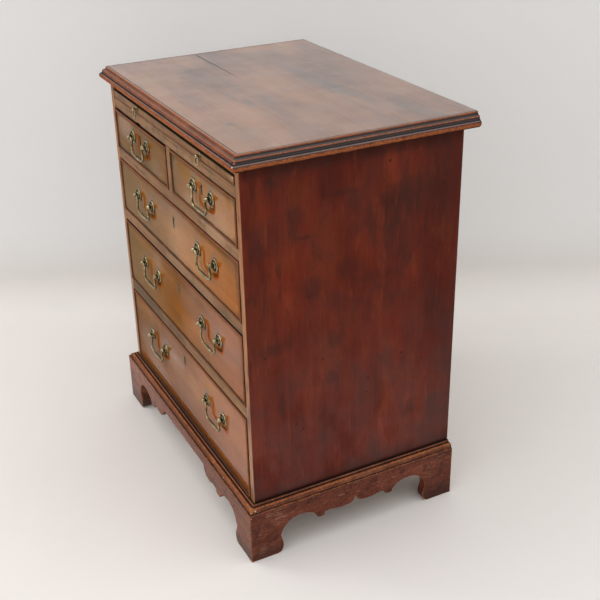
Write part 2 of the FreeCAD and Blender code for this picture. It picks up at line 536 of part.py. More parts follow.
# ---------------------------------------------------------------- brushing slide
SL_X0, SL_X1 = -IN_W + 1.5, IN_W - 4.0
SL_Z0, SL_Z1 = SLIDE_Z[0] + 0.6, SLIDE_Z[0] + 13.6
SL_D = 372.0
PULL_X = 158.0
PULL_Z = 731.0
CL = 42.0
board = box(SL_X0 + CL, SL_X1 - CL, FRONT, FRONT + SL_D, SL_Z0, SL_Z1)
clamps = [box(SL_X0, SL_X0 + CL, FRONT, FRONT + SL_D, SL_Z0, SL_Z1),
          box(SL_X1 - CL, SL_X1, FRONT, FRONT + SL_D, SL_Z0, SL_Z1)]
pull_parts = []
for sx in (-1, 1):
    px = sx * PULL_X
    board = board.cut(cyl((px, FRONT - 1, PULL_Z), (0, 1, 0), 1.3, 21.0))
    prof = [(0.0, 18.0), (1.25, 18.0), (1.25, 0.0), (5.6, 0.0), (5.6, -0.7), (4.6, -1.6), (3.0, -1.9), (2.1, -2.3),
            (2.1, -4.0), (0.0, -4.0)]
    pts = [V(px + r, FRONT + y, PULL_Z) for r, y in prof]
    stem = Part.Face(Part.makePolygon(pts + [pts[0]])).revolve(V(px, FRONT, PULL_Z), V(0, 1, 0), 360)
    knob = Part.makeSphere(3.2, V(px, FRONT - 6.2, PULL_Z))
    hole = cyl((px - 10, FRONT - 6.2, PULL_Z), (1, 0, 0), 1.5, 20)
    pull_parts.append(one(stem.fuse(knob).cut(hole)))
    # drop ring: a straight pin through the knuckle and a round loop below it
    y = FRONT - 6.2
    HWD = 6.4

    def Q(u, v):
        return V(px + u, y, PULL_Z + v)

    rc = 2.4
    edges = [Part.makeLine(Q(-HWD + rc, 0), Q(HWD - rc, 0)),
             Part.Arc(Q(HWD - rc, 0), Q(HWD - rc + rc * math.sin(math.pi / 4), -rc + rc * math.cos(math.pi / 4)),
                      Q(HWD, -rc)).toShape(),
             Part.makeLine(Q(HWD, -rc), Q(HWD, -10.0)),
             Part.Arc(Q(HWD, -10.0), Q(0, -10.0 - HWD), Q(-HWD, -10.0)).toShape(),
             Part.makeLine(Q(-HWD, -10.0), Q(-HWD, -rc)),
             Part.Arc(Q(-HWD, -rc), Q(-HWD + rc - rc * math.sin(math.pi / 4), -rc + rc * math.cos(math.pi / 4)),
                      Q(-HWD + rc, 0)).toShape()]
    wire = Part.Wire(Part.__sortEdges__(edges))
    circ = Part.Wire(Part.makeCircle(1.1, V(px - HWD + rc, y, PULL_Z), V(1, 0, 0)))
    ring = wire.makePipeShell([circ], True, True)
    if ring.ShapeType != "Solid":
        ring = Part.makeSolid(ring)
    if ring.Volume < 0:
        ring.reverse()
    save("slide_ring_left" if sx < 0 else "slide_ring_right", ring)
save("slide_board", [board] + clamps)
save("slide_pulls", pull_parts)
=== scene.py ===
import math
import bpy
import bmesh
import numpy as np
from mathutils import Matrix, Vector, noise


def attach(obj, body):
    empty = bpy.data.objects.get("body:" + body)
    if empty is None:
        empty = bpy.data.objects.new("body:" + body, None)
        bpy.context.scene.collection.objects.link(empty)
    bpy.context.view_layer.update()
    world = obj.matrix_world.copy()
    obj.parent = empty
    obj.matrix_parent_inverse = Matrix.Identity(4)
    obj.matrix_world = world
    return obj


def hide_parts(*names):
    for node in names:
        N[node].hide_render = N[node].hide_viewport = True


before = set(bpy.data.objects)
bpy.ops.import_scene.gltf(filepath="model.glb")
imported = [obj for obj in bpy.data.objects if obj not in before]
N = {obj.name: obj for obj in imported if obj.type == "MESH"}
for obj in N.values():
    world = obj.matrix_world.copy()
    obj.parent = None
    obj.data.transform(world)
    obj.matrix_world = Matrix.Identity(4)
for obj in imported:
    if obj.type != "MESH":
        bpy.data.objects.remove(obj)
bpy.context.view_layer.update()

MM = 0.001

# ------------------------------------------------------------------ sizes, in mm, as in the CAD
HW, CASE_D, PL, TB = 314.5, 421.0, 18.5, 23.0
F = -(CASE_D + PL + TB) / 2 + PL            # front plane of the case
R = F + CASE_D                              # back plane of the sides
H = 780.0
TZ = 754.0
PT, BM = 106.0, 117.0
IN_W = HW - 15.0
DIV = 9.5
ROWS = {"short_left": (-IN_W, -DIV, 614.5, 701.0), "short_right": (DIV, IN_W, 614.5, 701.0),
        "long_upper": (-IN_W, IN_W, 478.5, 593.5), "long_middle": (-IN_W, IN_W, 313.5, 457.5),
        "long_lower": (-IN_W, IN_W, 117.0, 291.0)}
HANDLES = {"short_left": ([-157.0], 666.6), "short_right": ([157.0], 666.6), "long_upper": ([-156.0, 156.0], 545.0),
           "long_middle": ([-153.0, 153.0], 395.8), "long_lower": ([-150.0, 150.0], 226.0)}
KEYS = {"short_left": (-154.5, 675.5), "short_right": (154.5, 675.5), "long_upper": (0.0, 561.5),
        "long_middle": (0.0, 422.5), "long_lower": (0.0, 263.0)}
BALL_T = 7.5
GAP_T = {"short_left": 3.2, "long_middle": 2.9, "long_lower": 2.2, "short_right": 1.7, "long_upper": 1.7}
SP = 78.0


# ------------------------------------------------------------------ small tools
def nz(x, y, z, s, seed=0.0):
    """Smooth noise from -1 to 1 at a point in mm, s features per mm."""
    return noise.noise(Vector((x * s + seed * 3.17, y * s - seed * 1.71, z * s + seed * 0.93)))


def quad_round(pts, radii, n=3, closed=False):
    """Rounds the corners of a polyline; radii has one number for each point."""
    out = []
    m = len(pts)
    for i, p in enumerate(pts):
        r = radii[i] if isinstance(radii, (list, tuple)) else radii
        if (not closed and i in (0, m - 1)) or r <= 0:
            out.append(tuple(p))
            continue
        a, b = np.array(pts[i - 1], float), np.array(pts[(i + 1) % m], float)
        p = np.array(p, float)
        la, lb = np.linalg.norm(a - p), np.linalg.norm(b - p)
        r1, r2 = min(r, la * 0.45), min(r, lb * 0.45)
        p1, p2 = p + (a - p) / la * r1, p + (b - p) / lb * r2
        for k in range(n + 1):
            t = k / n
            q = (1 - t) ** 2 * p1 + 2 * t * (1 - t) * p + t * t * p2
            out.append(tuple(q))
    return out


def arc3(p0, pm, p1, n):
    """n + 1 points on the circle through three 2-D points."""
    ax, ay = p0
    bx, by = pm
    cx, cy = p1
    d = 2 * (ax * (by - cy) + bx * (cy - ay) + cx * (ay - by))
    ux = ((ax * ax + ay * ay) * (by - cy) + (bx * bx + by * by) * (cy - ay) + (cx * cx + cy * cy) * (ay - by)) / d
    uy = ((ax * ax + ay * ay) * (cx - bx) + (bx * bx + by * by) * (ax - cx) + (cx * cx + cy * cy) * (bx - ax)) / d
    r = math.hypot(ax - ux, ay - uy)
    a0, am, a1 = (math.atan2(y - uy, x - ux) for x, y in (p0, pm, p1))
    ccw = (am - a0) % (2 * math.pi) < (a1 - a0) % (2 * math.pi)
    sweep = (a1 - a0) % (2 * math.pi) if ccw else -((a0 - a1) % (2 * math.pi))
    return [(ux + r * math.cos(a0 + sweep * k / n), uy + r * math.sin(a0 + sweep * k / n)) for k in range(n + 1)]


def make(name, verts, faces, mat, body, replaces=(), attrs=None, weld=0.0, weighted=True,
         bevel=None, fill=False, smooth=True):
    me = bpy.data.meshes.new(name)
    me.from_pydata([(x * MM, y * MM, z * MM) for x, y, z in verts], [], faces)
    for key, vals in (attrs or {}).items():
        a = me.attributes.new(key, "FLOAT", "POINT")
        a.data.foreach_set("value", np.asarray(vals, np.float32))
    bm = bmesh.new()
    bm.from_mesh(me)
    if weld:
        bmesh.ops.remove_doubles(bm, verts=bm.verts, dist=weld * MM)
        bmesh.ops.dissolve_degenerate(bm, edges=bm.edges, dist=1e-7)
    if fill:
        bmesh.ops.holes_fill(bm, edges=[e for e in bm.edges if e.is_boundary], sides=0)
    bmesh.ops.recalc_face_normals(bm, faces=bm.faces)
    bm.to_mesh(me)
    bm.free()
    o = bpy.data.objects.new(name, me)
    bpy.context.scene.collection.objects.link(o)
    for p in me.polygons:
        p.use_smooth = smooth
    for m in (mat if isinstance(mat, (list, tuple)) else [mat]):
        me.materials.append(m)
    if bevel:
        b = o.modifiers.new("bevel", "BEVEL")
        b.width = bevel * MM
        b.segments = 2
        b.limit_method = "ANGLE"
        b.angle_limit = math.radians(32)
        b.harden_normals = False
    if weighted:
        w = o.modifiers.new("wn", "WEIGHTED_NORMAL")
        w.keep_sharp = True
        w.weight = 50
    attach(o, body)
    if replaces:
        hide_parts(*replaces)
    return o


# ------------------------------------------------------------------ material tools
class G:
    """A material's node tree, with short names for what is used here."""

    def __init__(self, name):
        self.mat = bpy.data.materials.new(name)
        self.mat.use_nodes = True
        self.t = self.mat.node_tree
        self.t.nodes.clear()
        self.out = self.t.nodes.new("ShaderNodeOutputMaterial")
        self.bsdf = self.t.nodes.new("ShaderNodeBsdfPrincipled")
        self.t.links.new(self.bsdf.outputs[0], self.out.inputs[0])
        self.tc = self.t.nodes.new("ShaderNodeTexCoord")
        self.obj = self.tc.outputs["Object"]

    def link(self, a, b):
        if isinstance(a, (int, float, tuple, list)):
            b.default_value = a
        else:
            self.t.links.new(a, b)

    def m(self, op, a, b=0.0, c=0.0, clamp=False):
        n = self.t.nodes.new("ShaderNodeMath")
        n.operation = op
        n.use_clamp = clamp
        for v, s in zip((a, b, c), n.inputs):
            self.link(v, s)
        return n.outputs[0]

    def vm(self, op, a, b=None, scale=None):
        n = self.t.nodes.new("ShaderNodeVectorMath")
        n.operation = op
        self.link(a, n.inputs[0])
        if b is not None:
            self.link(b, n.inputs[1])
        if scale is not None:
            self.link(scale, n.inputs["Scale"])
        return n.outputs["Value"] if op in ("LENGTH", "DISTANCE", "DOT_PRODUCT") else n.outputs[0]

    def xyz(self, v=None):
        n = self.t.nodes.new("ShaderNodeSeparateXYZ")
        self.link(self.obj if v is None else v, n.inputs[0])
        return n.outputs

    def mapped(self, scale, loc=(0, 0, 0), rot=(0, 0, 0), vec=None):
        n = self.t.nodes.new("ShaderNodeMapping")
        self.link(self.obj if vec is None else vec, n.inputs[0])
        n.inputs["Location"].default_value = loc
        n.inputs["Rotation"].default_value = rot
        n.inputs["Scale"].default_value = scale
        return n.outputs[0]

    def noise(self, vec, scale=1.0, detail=2.0, rough=0.5, dist=0.0):
        n = self.t.nodes.new("ShaderNodeTexNoise")
        self.link(vec, n.inputs["Vector"])
        n.inputs["Scale"].default_value = scale
        n.inputs["Detail"].default_value = detail
        n.inputs["Roughness"].default_value = rough
        n.inputs["Distortion"].default_value = dist
        return n.outputs[0]

    def voro(self, vec, scale=1.0, feature="F1", rnd=1.0):
        n = self.t.nodes.new("ShaderNodeTexVoronoi")
        n.feature = feature
        self.link(vec, n.inputs["Vector"])
        n.inputs["Scale"].default_value = scale
        n.inputs["Randomness"].default_value = rnd
        return n.outputs["Distance"]

    def rng(self, v, a, b, c=0.0, d=1.0, smooth=True):
        n = self.t.nodes.new("ShaderNodeMapRange")
        n.interpolation_type = "SMOOTHSTEP" if smooth else "LINEAR"
        n.clamp = True
        self.link(v, n.inputs["Value"])
        for k, val in (("From Min", a), ("From Max", b), ("To Min", c), ("To Max", d)):
            self.link(val, n.inputs[k])
        return n.outputs[0]

    def ramp(self, v, stops, mode="LINEAR"):
        n = self.t.nodes.new("ShaderNodeValToRGB")
        n.color_ramp.interpolation = mode
        e = n.color_ramp.elements
        while len(e) < len(stops):
            e.new(0.5)
        for el, (p, c) in zip(e, stops):
            el.position = p
            el.color = (*c, 1) if len(c) == 3 else c
        self.link(v, n.inputs[0])
        return n.outputs[0]

    def mix(self, f, a, b, mode="MIX"):
        n = self.t.nodes.new("ShaderNodeMix")
        n.data_type = "RGBA"
        n.blend_type = mode
        n.clamp_factor = True
        self.link(f, n.inputs[0])
        for v, s in ((a, n.inputs[6]), (b, n.inputs[7])):
            self.link((*v, 1) if isinstance(v, (tuple, list)) and len(v) == 3 else v, s)
        return n.outputs[2]

    def attr(self, name):
        n = self.t.nodes.new("ShaderNodeAttribute")
        n.attribute_name = name
        return n.outputs["Fac"]

    def bump(self, h, strength=0.3, dist=0.001, normal=None):
        n = self.t.nodes.new("ShaderNodeBump")
        n.inputs["Strength"].default_value = strength
        n.inputs["Distance"].default_value = dist
        self.link(h, n.inputs["Height"])
        if normal is not None:
            self.link(normal, n.inputs["Normal"])
        return n.outputs[0]

    def set(self, **kw):
        names = {"color": "Base Color", "rough": "Roughness", "metal": "Metallic", "normal": "Normal", "ior": "IOR",
                 "coat": "Coat Weight", "coat_rough": "Coat Roughness", "coat_ior": "Coat IOR", "spec": "Specular IOR Level",
                 "coat_normal": "Coat Normal"}
        for k, v in kw.items():
            self.link((*v, 1) if isinstance(v, (tuple, list)) and len(v) == 3 and k == "color" else v,
                      self.bsdf.inputs[names[k]])


def smin(g, *vals):
    out = vals[0]
    for v in vals[1:]:
        out = g.m("MINIMUM", out, v)
    return out


AX = {"X": 0, "Y": 1, "Z": 2}


def grain_map(g, along, across_scale, along_scale, loc=(0, 0, 0), vec=None):
    sc = [across_scale] * 3
    sc[AX[along]] = along_scale
    return g.mapped(tuple(sc), loc, vec=vec)


def wood(name, along, pal, seed=0.0, rough=(0.3, 0.45), coat=0.0, coat_rough=0.12, coat_ior=1.5, spec=0.5,
         figure=1.0, streak=1.0, pores=0.5, cloud=1.0, blot=0.0, blot_col=(0.02, 0.012, 0.008), bump=0.10, extra=None,
         wear=None, grime_and_shade=None, dull=0.92, worn_dull=0.0, broad=(7.0, 2.6), bands=(34.0, 1.5), spread=0.14):
    """Grained, polished or bare wood. pal holds four colours from dark to light."""
    g = G(name)
    loc = (seed * 1.37, seed * 2.11, seed * 0.73)
    # slow bend of the grain, so that streaks wander
    bend = g.noise(grain_map(g, along, 5.0, 1.1, loc), 1.0, 2.0, 0.5)
    vec = g.vm("ADD", g.obj, g.vm("SCALE", (1.0, 1.0, 1.0), scale=g.m("MULTIPLY", g.m("SUBTRACT", bend, 0.5), 0.030)))
    cl = g.noise(grain_map(g, along, broad[0], broad[1], (loc[0] + 3, loc[1], loc[2])), 1.0, 3.0, 0.55)
    band = g.noise(grain_map(g, along, bands[0], bands[1], loc, vec), 1.0, 3.0, 0.6)
    line = g.noise(grain_map(g, along, 190.0, 4.0, loc, vec), 1.0, 3.0, 0.65)
    fine = g.noise(grain_map(g, along, 900.0, 28.0, loc, vec), 1.0, 2.0, 0.6)
    rib = g.noise(grain_map(g, along, 22.0, 26.0, (loc[1], loc[0], 5.0)), 1.0, 2.0, 0.6, 0.6)   # ribbon figure across the grain
    f = g.m("ADD", g.m("MULTIPLY", cl, 0.38 * cloud), g.m("MULTIPLY", band, 0.34 * streak))
    f = g.m("ADD", f, g.m("MULTIPLY", line, 0.22 * streak))
    f = g.m("ADD", f, g.m("MULTIPLY", rib, 0.10 * figure))
    tot = 0.38 * cloud + 0.56 * streak + 0.10 * figure
    f = g.m("DIVIDE", f, tot)
    f = g.rng(f, 0.5 - spread, 0.5 + spread, 0.0, 1.0, smooth=False)
    col = g.ramp(f, [(0.0, pal[0]), (0.35, pal[1]), (0.68, pal[2]), (1.0, pal[3])])
    col = g.mix(g.m("MULTIPLY", g.rng(fine, 0.5, 0.75), 0.30), col, tuple(c * 0.55 for c in pal[0]))
    # pores: short dark dashes along the grain
    p = g.noise(grain_map(g, along, 2600.0, 150.0, loc, vec), 1.0, 1.0, 0.5)
    pore = g.rng(p, 0.62, 0.70)
    col = g.mix(g.m("MULTIPLY", pore, pores), col, tuple(c * 0.4 for c in pal[0]))
    h = g.m("ADD", g.m("MULTIPLY", fine, 0.4), g.m("MULTIPLY", pore, -0.6))
    if blot:
        b = g.noise(g.mapped((60, 60, 60), (loc[2], 1.0, 2.0)), 1.0, 4.0, 0.6)
        b2 = g.noise(g.mapped((9, 9, 9), (loc[2], 7.0, 2.0)), 1.0, 2.0, 0.5)
        bb = g.m("MULTIPLY", g.rng(b, 0.60, 0.72), g.rng(b2, 0.42, 0.62))
        col = g.mix(g.m("MULTIPLY", bb, blot), col, blot_col)
    rr = g.rng(g.noise(g.mapped((14, 14, 14), (2.0, loc[0], 1.0)), 1.0, 4.0, 0.6), 0.3, 0.7, rough[0], rough[1])
    mask = None
    if extra:
        got = extra(g, col, rr, h, dict(cl=cl, band=band, line=line, fine=fine, loc=loc, vec=vec))
        col, rr, h = got[:3]
        mask = got[3] if len(got) > 3 else None
    if wear is not None:
        wc, wamt = wear
        a = g.attr("wear")
        nn = g.noise(g.mapped((420, 420, 420), loc), 1.0, 3.0, 0.6)
        n2 = g.noise(g.mapped((60, 60, 60), loc), 1.0, 2.0, 0.6)
        w = g.m("MULTIPLY", g.rng(g.m("ADD", a, g.m("ADD", g.m("MULTIPLY", g.m("SUBTRACT", nn, 0.5), 1.1),
                                                     g.m("MULTIPLY", g.m("SUBTRACT", n2, 0.5), 1.1))), 0.35, 0.80), wamt)
        wcol = g.ramp(nn, [(0.34, tuple(c * 0.55 for c in wc)), (0.52, wc), (0.68, tuple(min(1.0, c * 1.35) for c in wc))])
        col = g.mix(w, col, wcol)
        # dark specks where grit and old wax sit in the open grain
        sp = g.noise(g.mapped((620, 620, 620), (loc[2], 3.0, loc[0])), 1.0, 2.0, 0.6)
        col = g.mix(g.m("MULTIPLY", g.m("MULTIPLY", g.rng(sp, 0.60, 0.68), g.rng(a, 0.1, 0.5)), 0.8), col, (0.045, 0.016, 0.010))
        if worn_dull:
            mask = g.m("MULTIPLY", coat if mask is None else mask, g.m("SUBTRACT", 1.0, g.m("MULTIPLY", w, worn_dull)))
    # grime and painted shade in the creases, coves and under the edges, from the per-vertex value; it also dulls the
    # polish there
    if grime_and_shade is not None:
        gc, gamt = grime_and_shade
        a = g.attr("grime_and_shade")
        nn = g.noise(g.mapped((150, 150, 150), (loc[1], 2, 1)), 1.0, 3.0, 0.6)
        w = g.m("MULTIPLY", g.rng(g.m("ADD", a, g.m("MULTIPLY", g.m("SUBTRACT", nn, 0.5), 0.7)), 0.30, 0.80), gamt)
        col = g.mix(w, col, gc)
        rr = g.m("ADD", rr, g.m("MULTIPLY", w, 0.25))
        mask = g.m("MULTIPLY", coat if mask is None else mask, g.m("SUBTRACT", 1.0, g.m("MULTIPLY", w, dull)))
    wav = g.noise(g.mapped((38, 38, 38), loc), 1.0, 2.0, 0.5)
    nrm = g.bump(h, bump, 0.00025, normal=g.bump(wav, 0.10, 0.0012))
    g.set(color=col, rough=rr, normal=nrm, spec=spec)
    if coat or mask is not None:
        g.set(coat=coat if mask is None else mask, coat_rough=coat_rough, coat_ior=coat_ior,
              coat_normal=g.bump(wav, 0.10, 0.0010, normal=g.bump(fine, 0.04, 0.0002)))
    return g.mat


def patch(g, col, at, half, colour, k, edge, soft=(0.35, 1.35), wild=1.5, keep=0.35):
    """A soft patch of colour round a point (mm), used for stains, tone, painted shade and painted reflections; half
    sizes of 0 mean that direction doesn't matter. edge is a noise.
    """
    sc = tuple(1000.0 / v if v else 0.0 for v in half)
    q = g.vm("MULTIPLY", g.vm("SUBTRACT", g.obj, tuple(v * MM for v in at)), sc)
    r = g.m("ADD", g.vm("LENGTH", q), g.m("MULTIPLY", g.m("SUBTRACT", edge, 0.5), wild))
    return g.mix(g.m("MULTIPLY", g.rng(r, soft[0], soft[1], 1.0, 0.0), k), col, g.mix(keep, colour, col) if keep else colour)


def streak_x(g, col, x0, x1, y, width, k, colour, wob):
    """A thin line along X on the top, tapering to its ends."""
    o = g.xyz()
    d = g.m("ABSOLUTE", g.m("ADD", g.m("SUBTRACT", o[1], y * MM), g.m("MULTIPLY", g.m("SUBTRACT", wob, 0.5), 0.0022)))
    run = g.m("MULTIPLY", g.rng(o[0], (x0 - 2) * MM, (x0 + 6) * MM), g.rng(o[0], (x0 + (x1 - x0) * 0.45) * MM, x1 * MM, 1.0, 0.0))
    w = g.m("MULTIPLY", run, width * MM)
    on = g.m("MULTIPLY", g.rng(d, g.m("MULTIPLY", w, 0.5), g.m("MAXIMUM", w, 0.0001), 1.0, 0.0), g.rng(run, 0.0, 0.1))
    return g.mix(g.m("MULTIPLY", on, k), col, colour)


def streak_l(g, col, x0, y0, x1, y1, width, k, colour, wob):
    """A thin slanting line on the top from one point to another, narrowing at both ends."""
    o = g.xyz()
    s_ = (y1 - y0) / (x1 - x0)
    yl = g.m("ADD", g.m("MULTIPLY", g.m("SUBTRACT", o[0], x0 * MM), s_), y0 * MM)
    d = g.m("ABSOLUTE", g.m("ADD", g.m("SUBTRACT", o[1], yl), g.m("MULTIPLY", g.m("SUBTRACT", wob, 0.5), 0.0018)))
    run = g.m("MULTIPLY", g.rng(o[0], (x0 - 4) * MM, (x0 + 10) * MM), g.rng(o[0], (x0 + (x1 - x0) * 0.55) * MM, x1 * MM, 1.0, 0.0))
    w = g.m("MULTIPLY", run, width * MM)
    on = g.m("MULTIPLY", g.rng(d, g.m("MULTIPLY", w, 0.55), g.m("MAXIMUM", w, 0.0001), 1.0, 0.0), g.rng(run, 0.0, 0.1))
    return g.mix(g.m("MULTIPLY", on, k), col, colour)


def chips(g, col, rr, spots, colour=(0.55, 0.50, 0.44)):
    """Small broken places, paler than the polish: (x, y, z, radius)."""
    n = g.noise(g.mapped((700, 700, 700), (3, 1, 2)), 1.0, 3.0, 0.65)
    for (x, y, z, r) in spots:
        q = g.vm("LENGTH", g.vm("SUBTRACT", g.obj, (x * MM, y * MM, z * MM)))
        v = g.rng(g.m("ADD", q, g.m("MULTIPLY", g.m("SUBTRACT", n, 0.5), r * 1.6 * MM)), r * 0.55 * MM, r * MM, 1.0, 0.0)
        col = g.mix(v, col, colour)
        rr = g.m("ADD", rr, g.m("MULTIPLY", v, 0.3))
    return col, rr


# palettes, dark to light (linear)
TOP_PAL = [(0.085, 0.032, 0.020), (0.160, 0.062, 0.034), (0.240, 0.102, 0.050), (0.325, 0.155, 0.078)]
SIDE_PAL = [(0.056, 0.0095, 0.0055), (0.098, 0.0140, 0.0066), (0.140, 0.0200, 0.0080), (0.200, 0.0330, 0.0110)]
FRONT_PAL = [(0.175, 0.060, 0.0055), (0.270, 0.094, 0.0085), (0.365, 0.128, 0.0115), (0.460, 0.165, 0.0150)]   # times FRONT_X
RAIL_PAL = [(0.125, 0.060, 0.026), (0.208, 0.104, 0.046), (0.272, 0.140, 0.064), (0.340, 0.182, 0.090)]
PLINTH_PAL = [(0.085, 0.024, 0.012), (0.160, 0.046, 0.021), (0.230, 0.072, 0.033), (0.310, 0.108, 0.052)]
PINE_PAL = [(0.200, 0.110, 0.050), (0.290, 0.175, 0.085), (0.370, 0.240, 0.125), (0.450, 0.310, 0.175)]
OAK_PAL = [(0.190, 0.110, 0.048), (0.280, 0.175, 0.080), (0.360, 0.240, 0.120), (0.440, 0.310, 0.165)]
BACK_PAL = [(0.120, 0.062, 0.030), (0.180, 0.102, 0.052), (0.240, 0.145, 0.078), (0.300, 0.190, 0.108)]
GRIME = (0.020, 0.019, 0.018)
WORN = (0.36, 0.100, 0.024)


# ------------------------------------------------------------------ top and base mouldings
def moulding_path(t, rho, ys, xs, yback):
    """One loop of a moulding at offset t with corner radius rho: left leg, corner, front, corner, right leg."""
    X, Y = HW + t, F - t
    pts = []
    y0 = Y + rho
    for y in ys:                                     # 0 at the back, 1 at the corner
        pts.append((-X, yback + (y0 - yback) * y))
    for k in (1, 2, 3):
        a = math.pi + k * math.pi / 8
        pts.append((-X + rho + rho * math.cos(a), Y + rho + rho * math.sin(a)))
    for x in xs:                                     # 0 to 1
        pts.append((-X + rho + (2 * X - 2 * rho) * x, Y))
    for k in (1, 2, 3):
        a = 1.5 * math.pi + k * math.pi / 8
        pts.append((X - rho + rho * math.cos(a), Y + rho + rho * math.sin(a)))
    for y in reversed(ys):
        pts.append((X, yback + (y0 - yback) * y))
    return pts


def unit_stations(length, step, dense_at=()):
    u = list(np.linspace(0, 1, max(2, int(length / step)) + 1))
    for d in dense_at:
        for s in (1.0, 2.2, 3.6):
            u.append(s / length if d == 0 else 1 - s / length)
    return sorted(set(round(x, 6) for x in u))


def top_board():
    # profile from the underside, round the edge, to the flat of the top: (t, z, wear, grime and painted shade)
    seg = []

    def add(pts, wear=0.0, grime_and_shade=0.0):
        for p in pts:
            seg.append((p[0], p[1], wear, grime_and_shade))
    add([(-8.0, TZ)], 0, 0)
    add([(11.6, TZ)], 0, 0.4)
    add(quad_round([(11.8, TZ), (12.6, TZ), (13.0, TZ + 1.2)], [0, 0.4, 0], 2), 0.3, 0.3)
    bead = arc3((13.0, TZ + 1.2), (17.0, TZ + 6.8), (13.5, TZ + 12.4), 12)
    for k, p in enumerate(bead):
        c = 1 - abs(k - 6) / 6.0
        seg.append((p[0], p[1], max(0.0, 1.0 - abs(k - 5.0) * 0.15) if k < 9 else 0.0, 1.0 if k >= 12 else (0.6 if k == 11 else 0)))
    cove = arc3((13.5, TZ + 12.4), (11.5, TZ + 14.4), (11.1, TZ + 17.3), 6)[1:]
    for k, p in enumerate(cove):
        seg.append((p[0], p[1], 0.0, 1.0 if k < 1 else (0.35 if k == 1 else 0.0)))
    add(quad_round([(11.1, TZ + 17.5), (10.9, TZ + 18.9), (10.0, TZ + 19.2)], [0, 0.6, 0], 2), 0.70, 0)
    cove2 = arc3((9.9, TZ + 19.2), (6.8, TZ + 20.6), (5.25, TZ + 23.1), 6)
    for k, p in enumerate(cove2):
        seg.append((p[0], p[1], 0.0, 0.9 if k == 0 else 0.0))
    add(quad_round([(5.2, TZ + 23.4), (5.0, H), (3.4, H)], [0, 0.9, 0], 3), 0.62, 0)
    add([(2.6, H)], 0.0, 0.3)
    add([(1.9, H - 0.05), (1.5, H - 0.45), (1.1, H - 0.05)], 0.0, 1.0)
    add([(0.4, H)], 0.0, 0.25)
    add([(-3.0, H), (-8.0, H)], 0.0, 0.0)
    yback = R + TB
    crack_y = -25.7
    # side stations, as shares of the way from back to front; the crack needs rows of its own on the flat
    ys = unit_stations(yback - F, 4.5, (1,))
    yflat0 = F + 8.0
    L = yback - yflat0
    for d in (-1.6, -0.55, -0.22, 0.0, 0.22, 0.55, 1.6):
        ys.append((yback - (crack_y + d)) / L)
    ys = sorted(set(ys))
    near = [k for k in range(1, len(ys)) if ys[k] - ys[k - 1] < 0.2 / L]
    ys = [y for k, y in enumerate(ys) if k not in near]
    xs = unit_stations(2 * HW, 4.5, (0, 1))
    V, A, B = [], [], []
    np_ = len(seg)
    ns = None
    for j, (t, z, wear, grime_and_shade) in enumerate(seg):
        rho = max(0.0, min(1.6, (t + 8.0) * 0.16))
        path = moulding_path(t, rho, ys, xs, yback)
        ns = len(path)
        for i, (x, y) in enumerate(path):
            # small knocks and rub along the worn edges, none on the back plane
            k = 0.0
            if wear > 0.2 and y < yback - 1:
                k = 0.30 * wear * (nz(x, y, z, 0.045, 3) + 0.6 * nz(x, y, z, 0.21, 5) - 0.45)
            cxs, cys = (1 if x > 0 else -1), -1
            on_front = abs(y - (F - t)) < 2 and abs(x) < HW + t - 1
            dx, dy = (0.0, -1.0) if on_front else ((1.0 if x > 0 else -1.0), 0.0)
            cy_near = math.hypot(abs(x) - (HW + t), y - (F - t))
            dent = 0.0
            if x > 0 and cy_near < 6 and t > 8:                # knocked near corner
                dent = 0.7 * math.exp(-(cy_near / 3.0) ** 2)
            V.append([x + dx * k - (1 if x > 0 else -1) * dent, y + dy * k + dent, z + (k * 0.4 if z < H - 0.3 else min(0.0, k * 0.4))])
            A.append(min(1.0, wear + dent))
            B.append(grime_and_shade)
    faces = []
    for j in range(np_ - 1):
        for i in range(ns - 1):
            a = j * ns + i
            faces.append((a, a + 1, a + ns + 1, a + ns))
    # flat of the top as a grid that meets the last loop
    base = len(V)
    X0 = HW - 8.0
    gx = [-X0 + 2 * X0 * u for u in xs]
    gy = [yback + (yflat0 - yback) * u for u in ys]
    for y in gy:
        for x in gx:
            z = H
            edge = min(X0 - abs(x), y - yflat0, yback - y)
            s = min(1.0, max(0.0, edge / 40.0))
            z -= s * (0.10 + 0.16 * (nz(x, y, 0, 0.0045, 9) + 0.5 * nz(x, y, 0, 0.011, 4) + 0.6))
            g_ = 0.0
            # shrinkage crack along the grain from the left-hand end
            if x < -70:
                open_ = min(1.0, (-70 - x) / 130.0)
                d = abs(y - crack_y)
                if d < 0.35:
                    z -= 1.3 * open_ * (0.75 + 0.5 * nz(x, 0, 0, 0.08, 2))
                    g_ = 1.0 * min(1.0, open_ * 1.6)
                elif d < 0.8:
                    g_ = 0.75 * open_
            yy = y + (0.35 * nz(x, 0, 0, 0.03, 8) * min(1.0, edge / 12.0) if abs(y - crack_y) > 4 else 0)
            V.append([x, yy, z])
            A.append(0.0)
            B.append(g_)
    nx, ny = len(gx), len(gy)
    for b in range(ny - 1):
        for a in range(nx - 1):
            q = base + b * nx + a
            faces.append((q, q + 1, q + nx + 1, q + nx))
    # underside: one flat face round the first loop
    faces.append(tuple(range(ns)))
    return V, faces, A, B


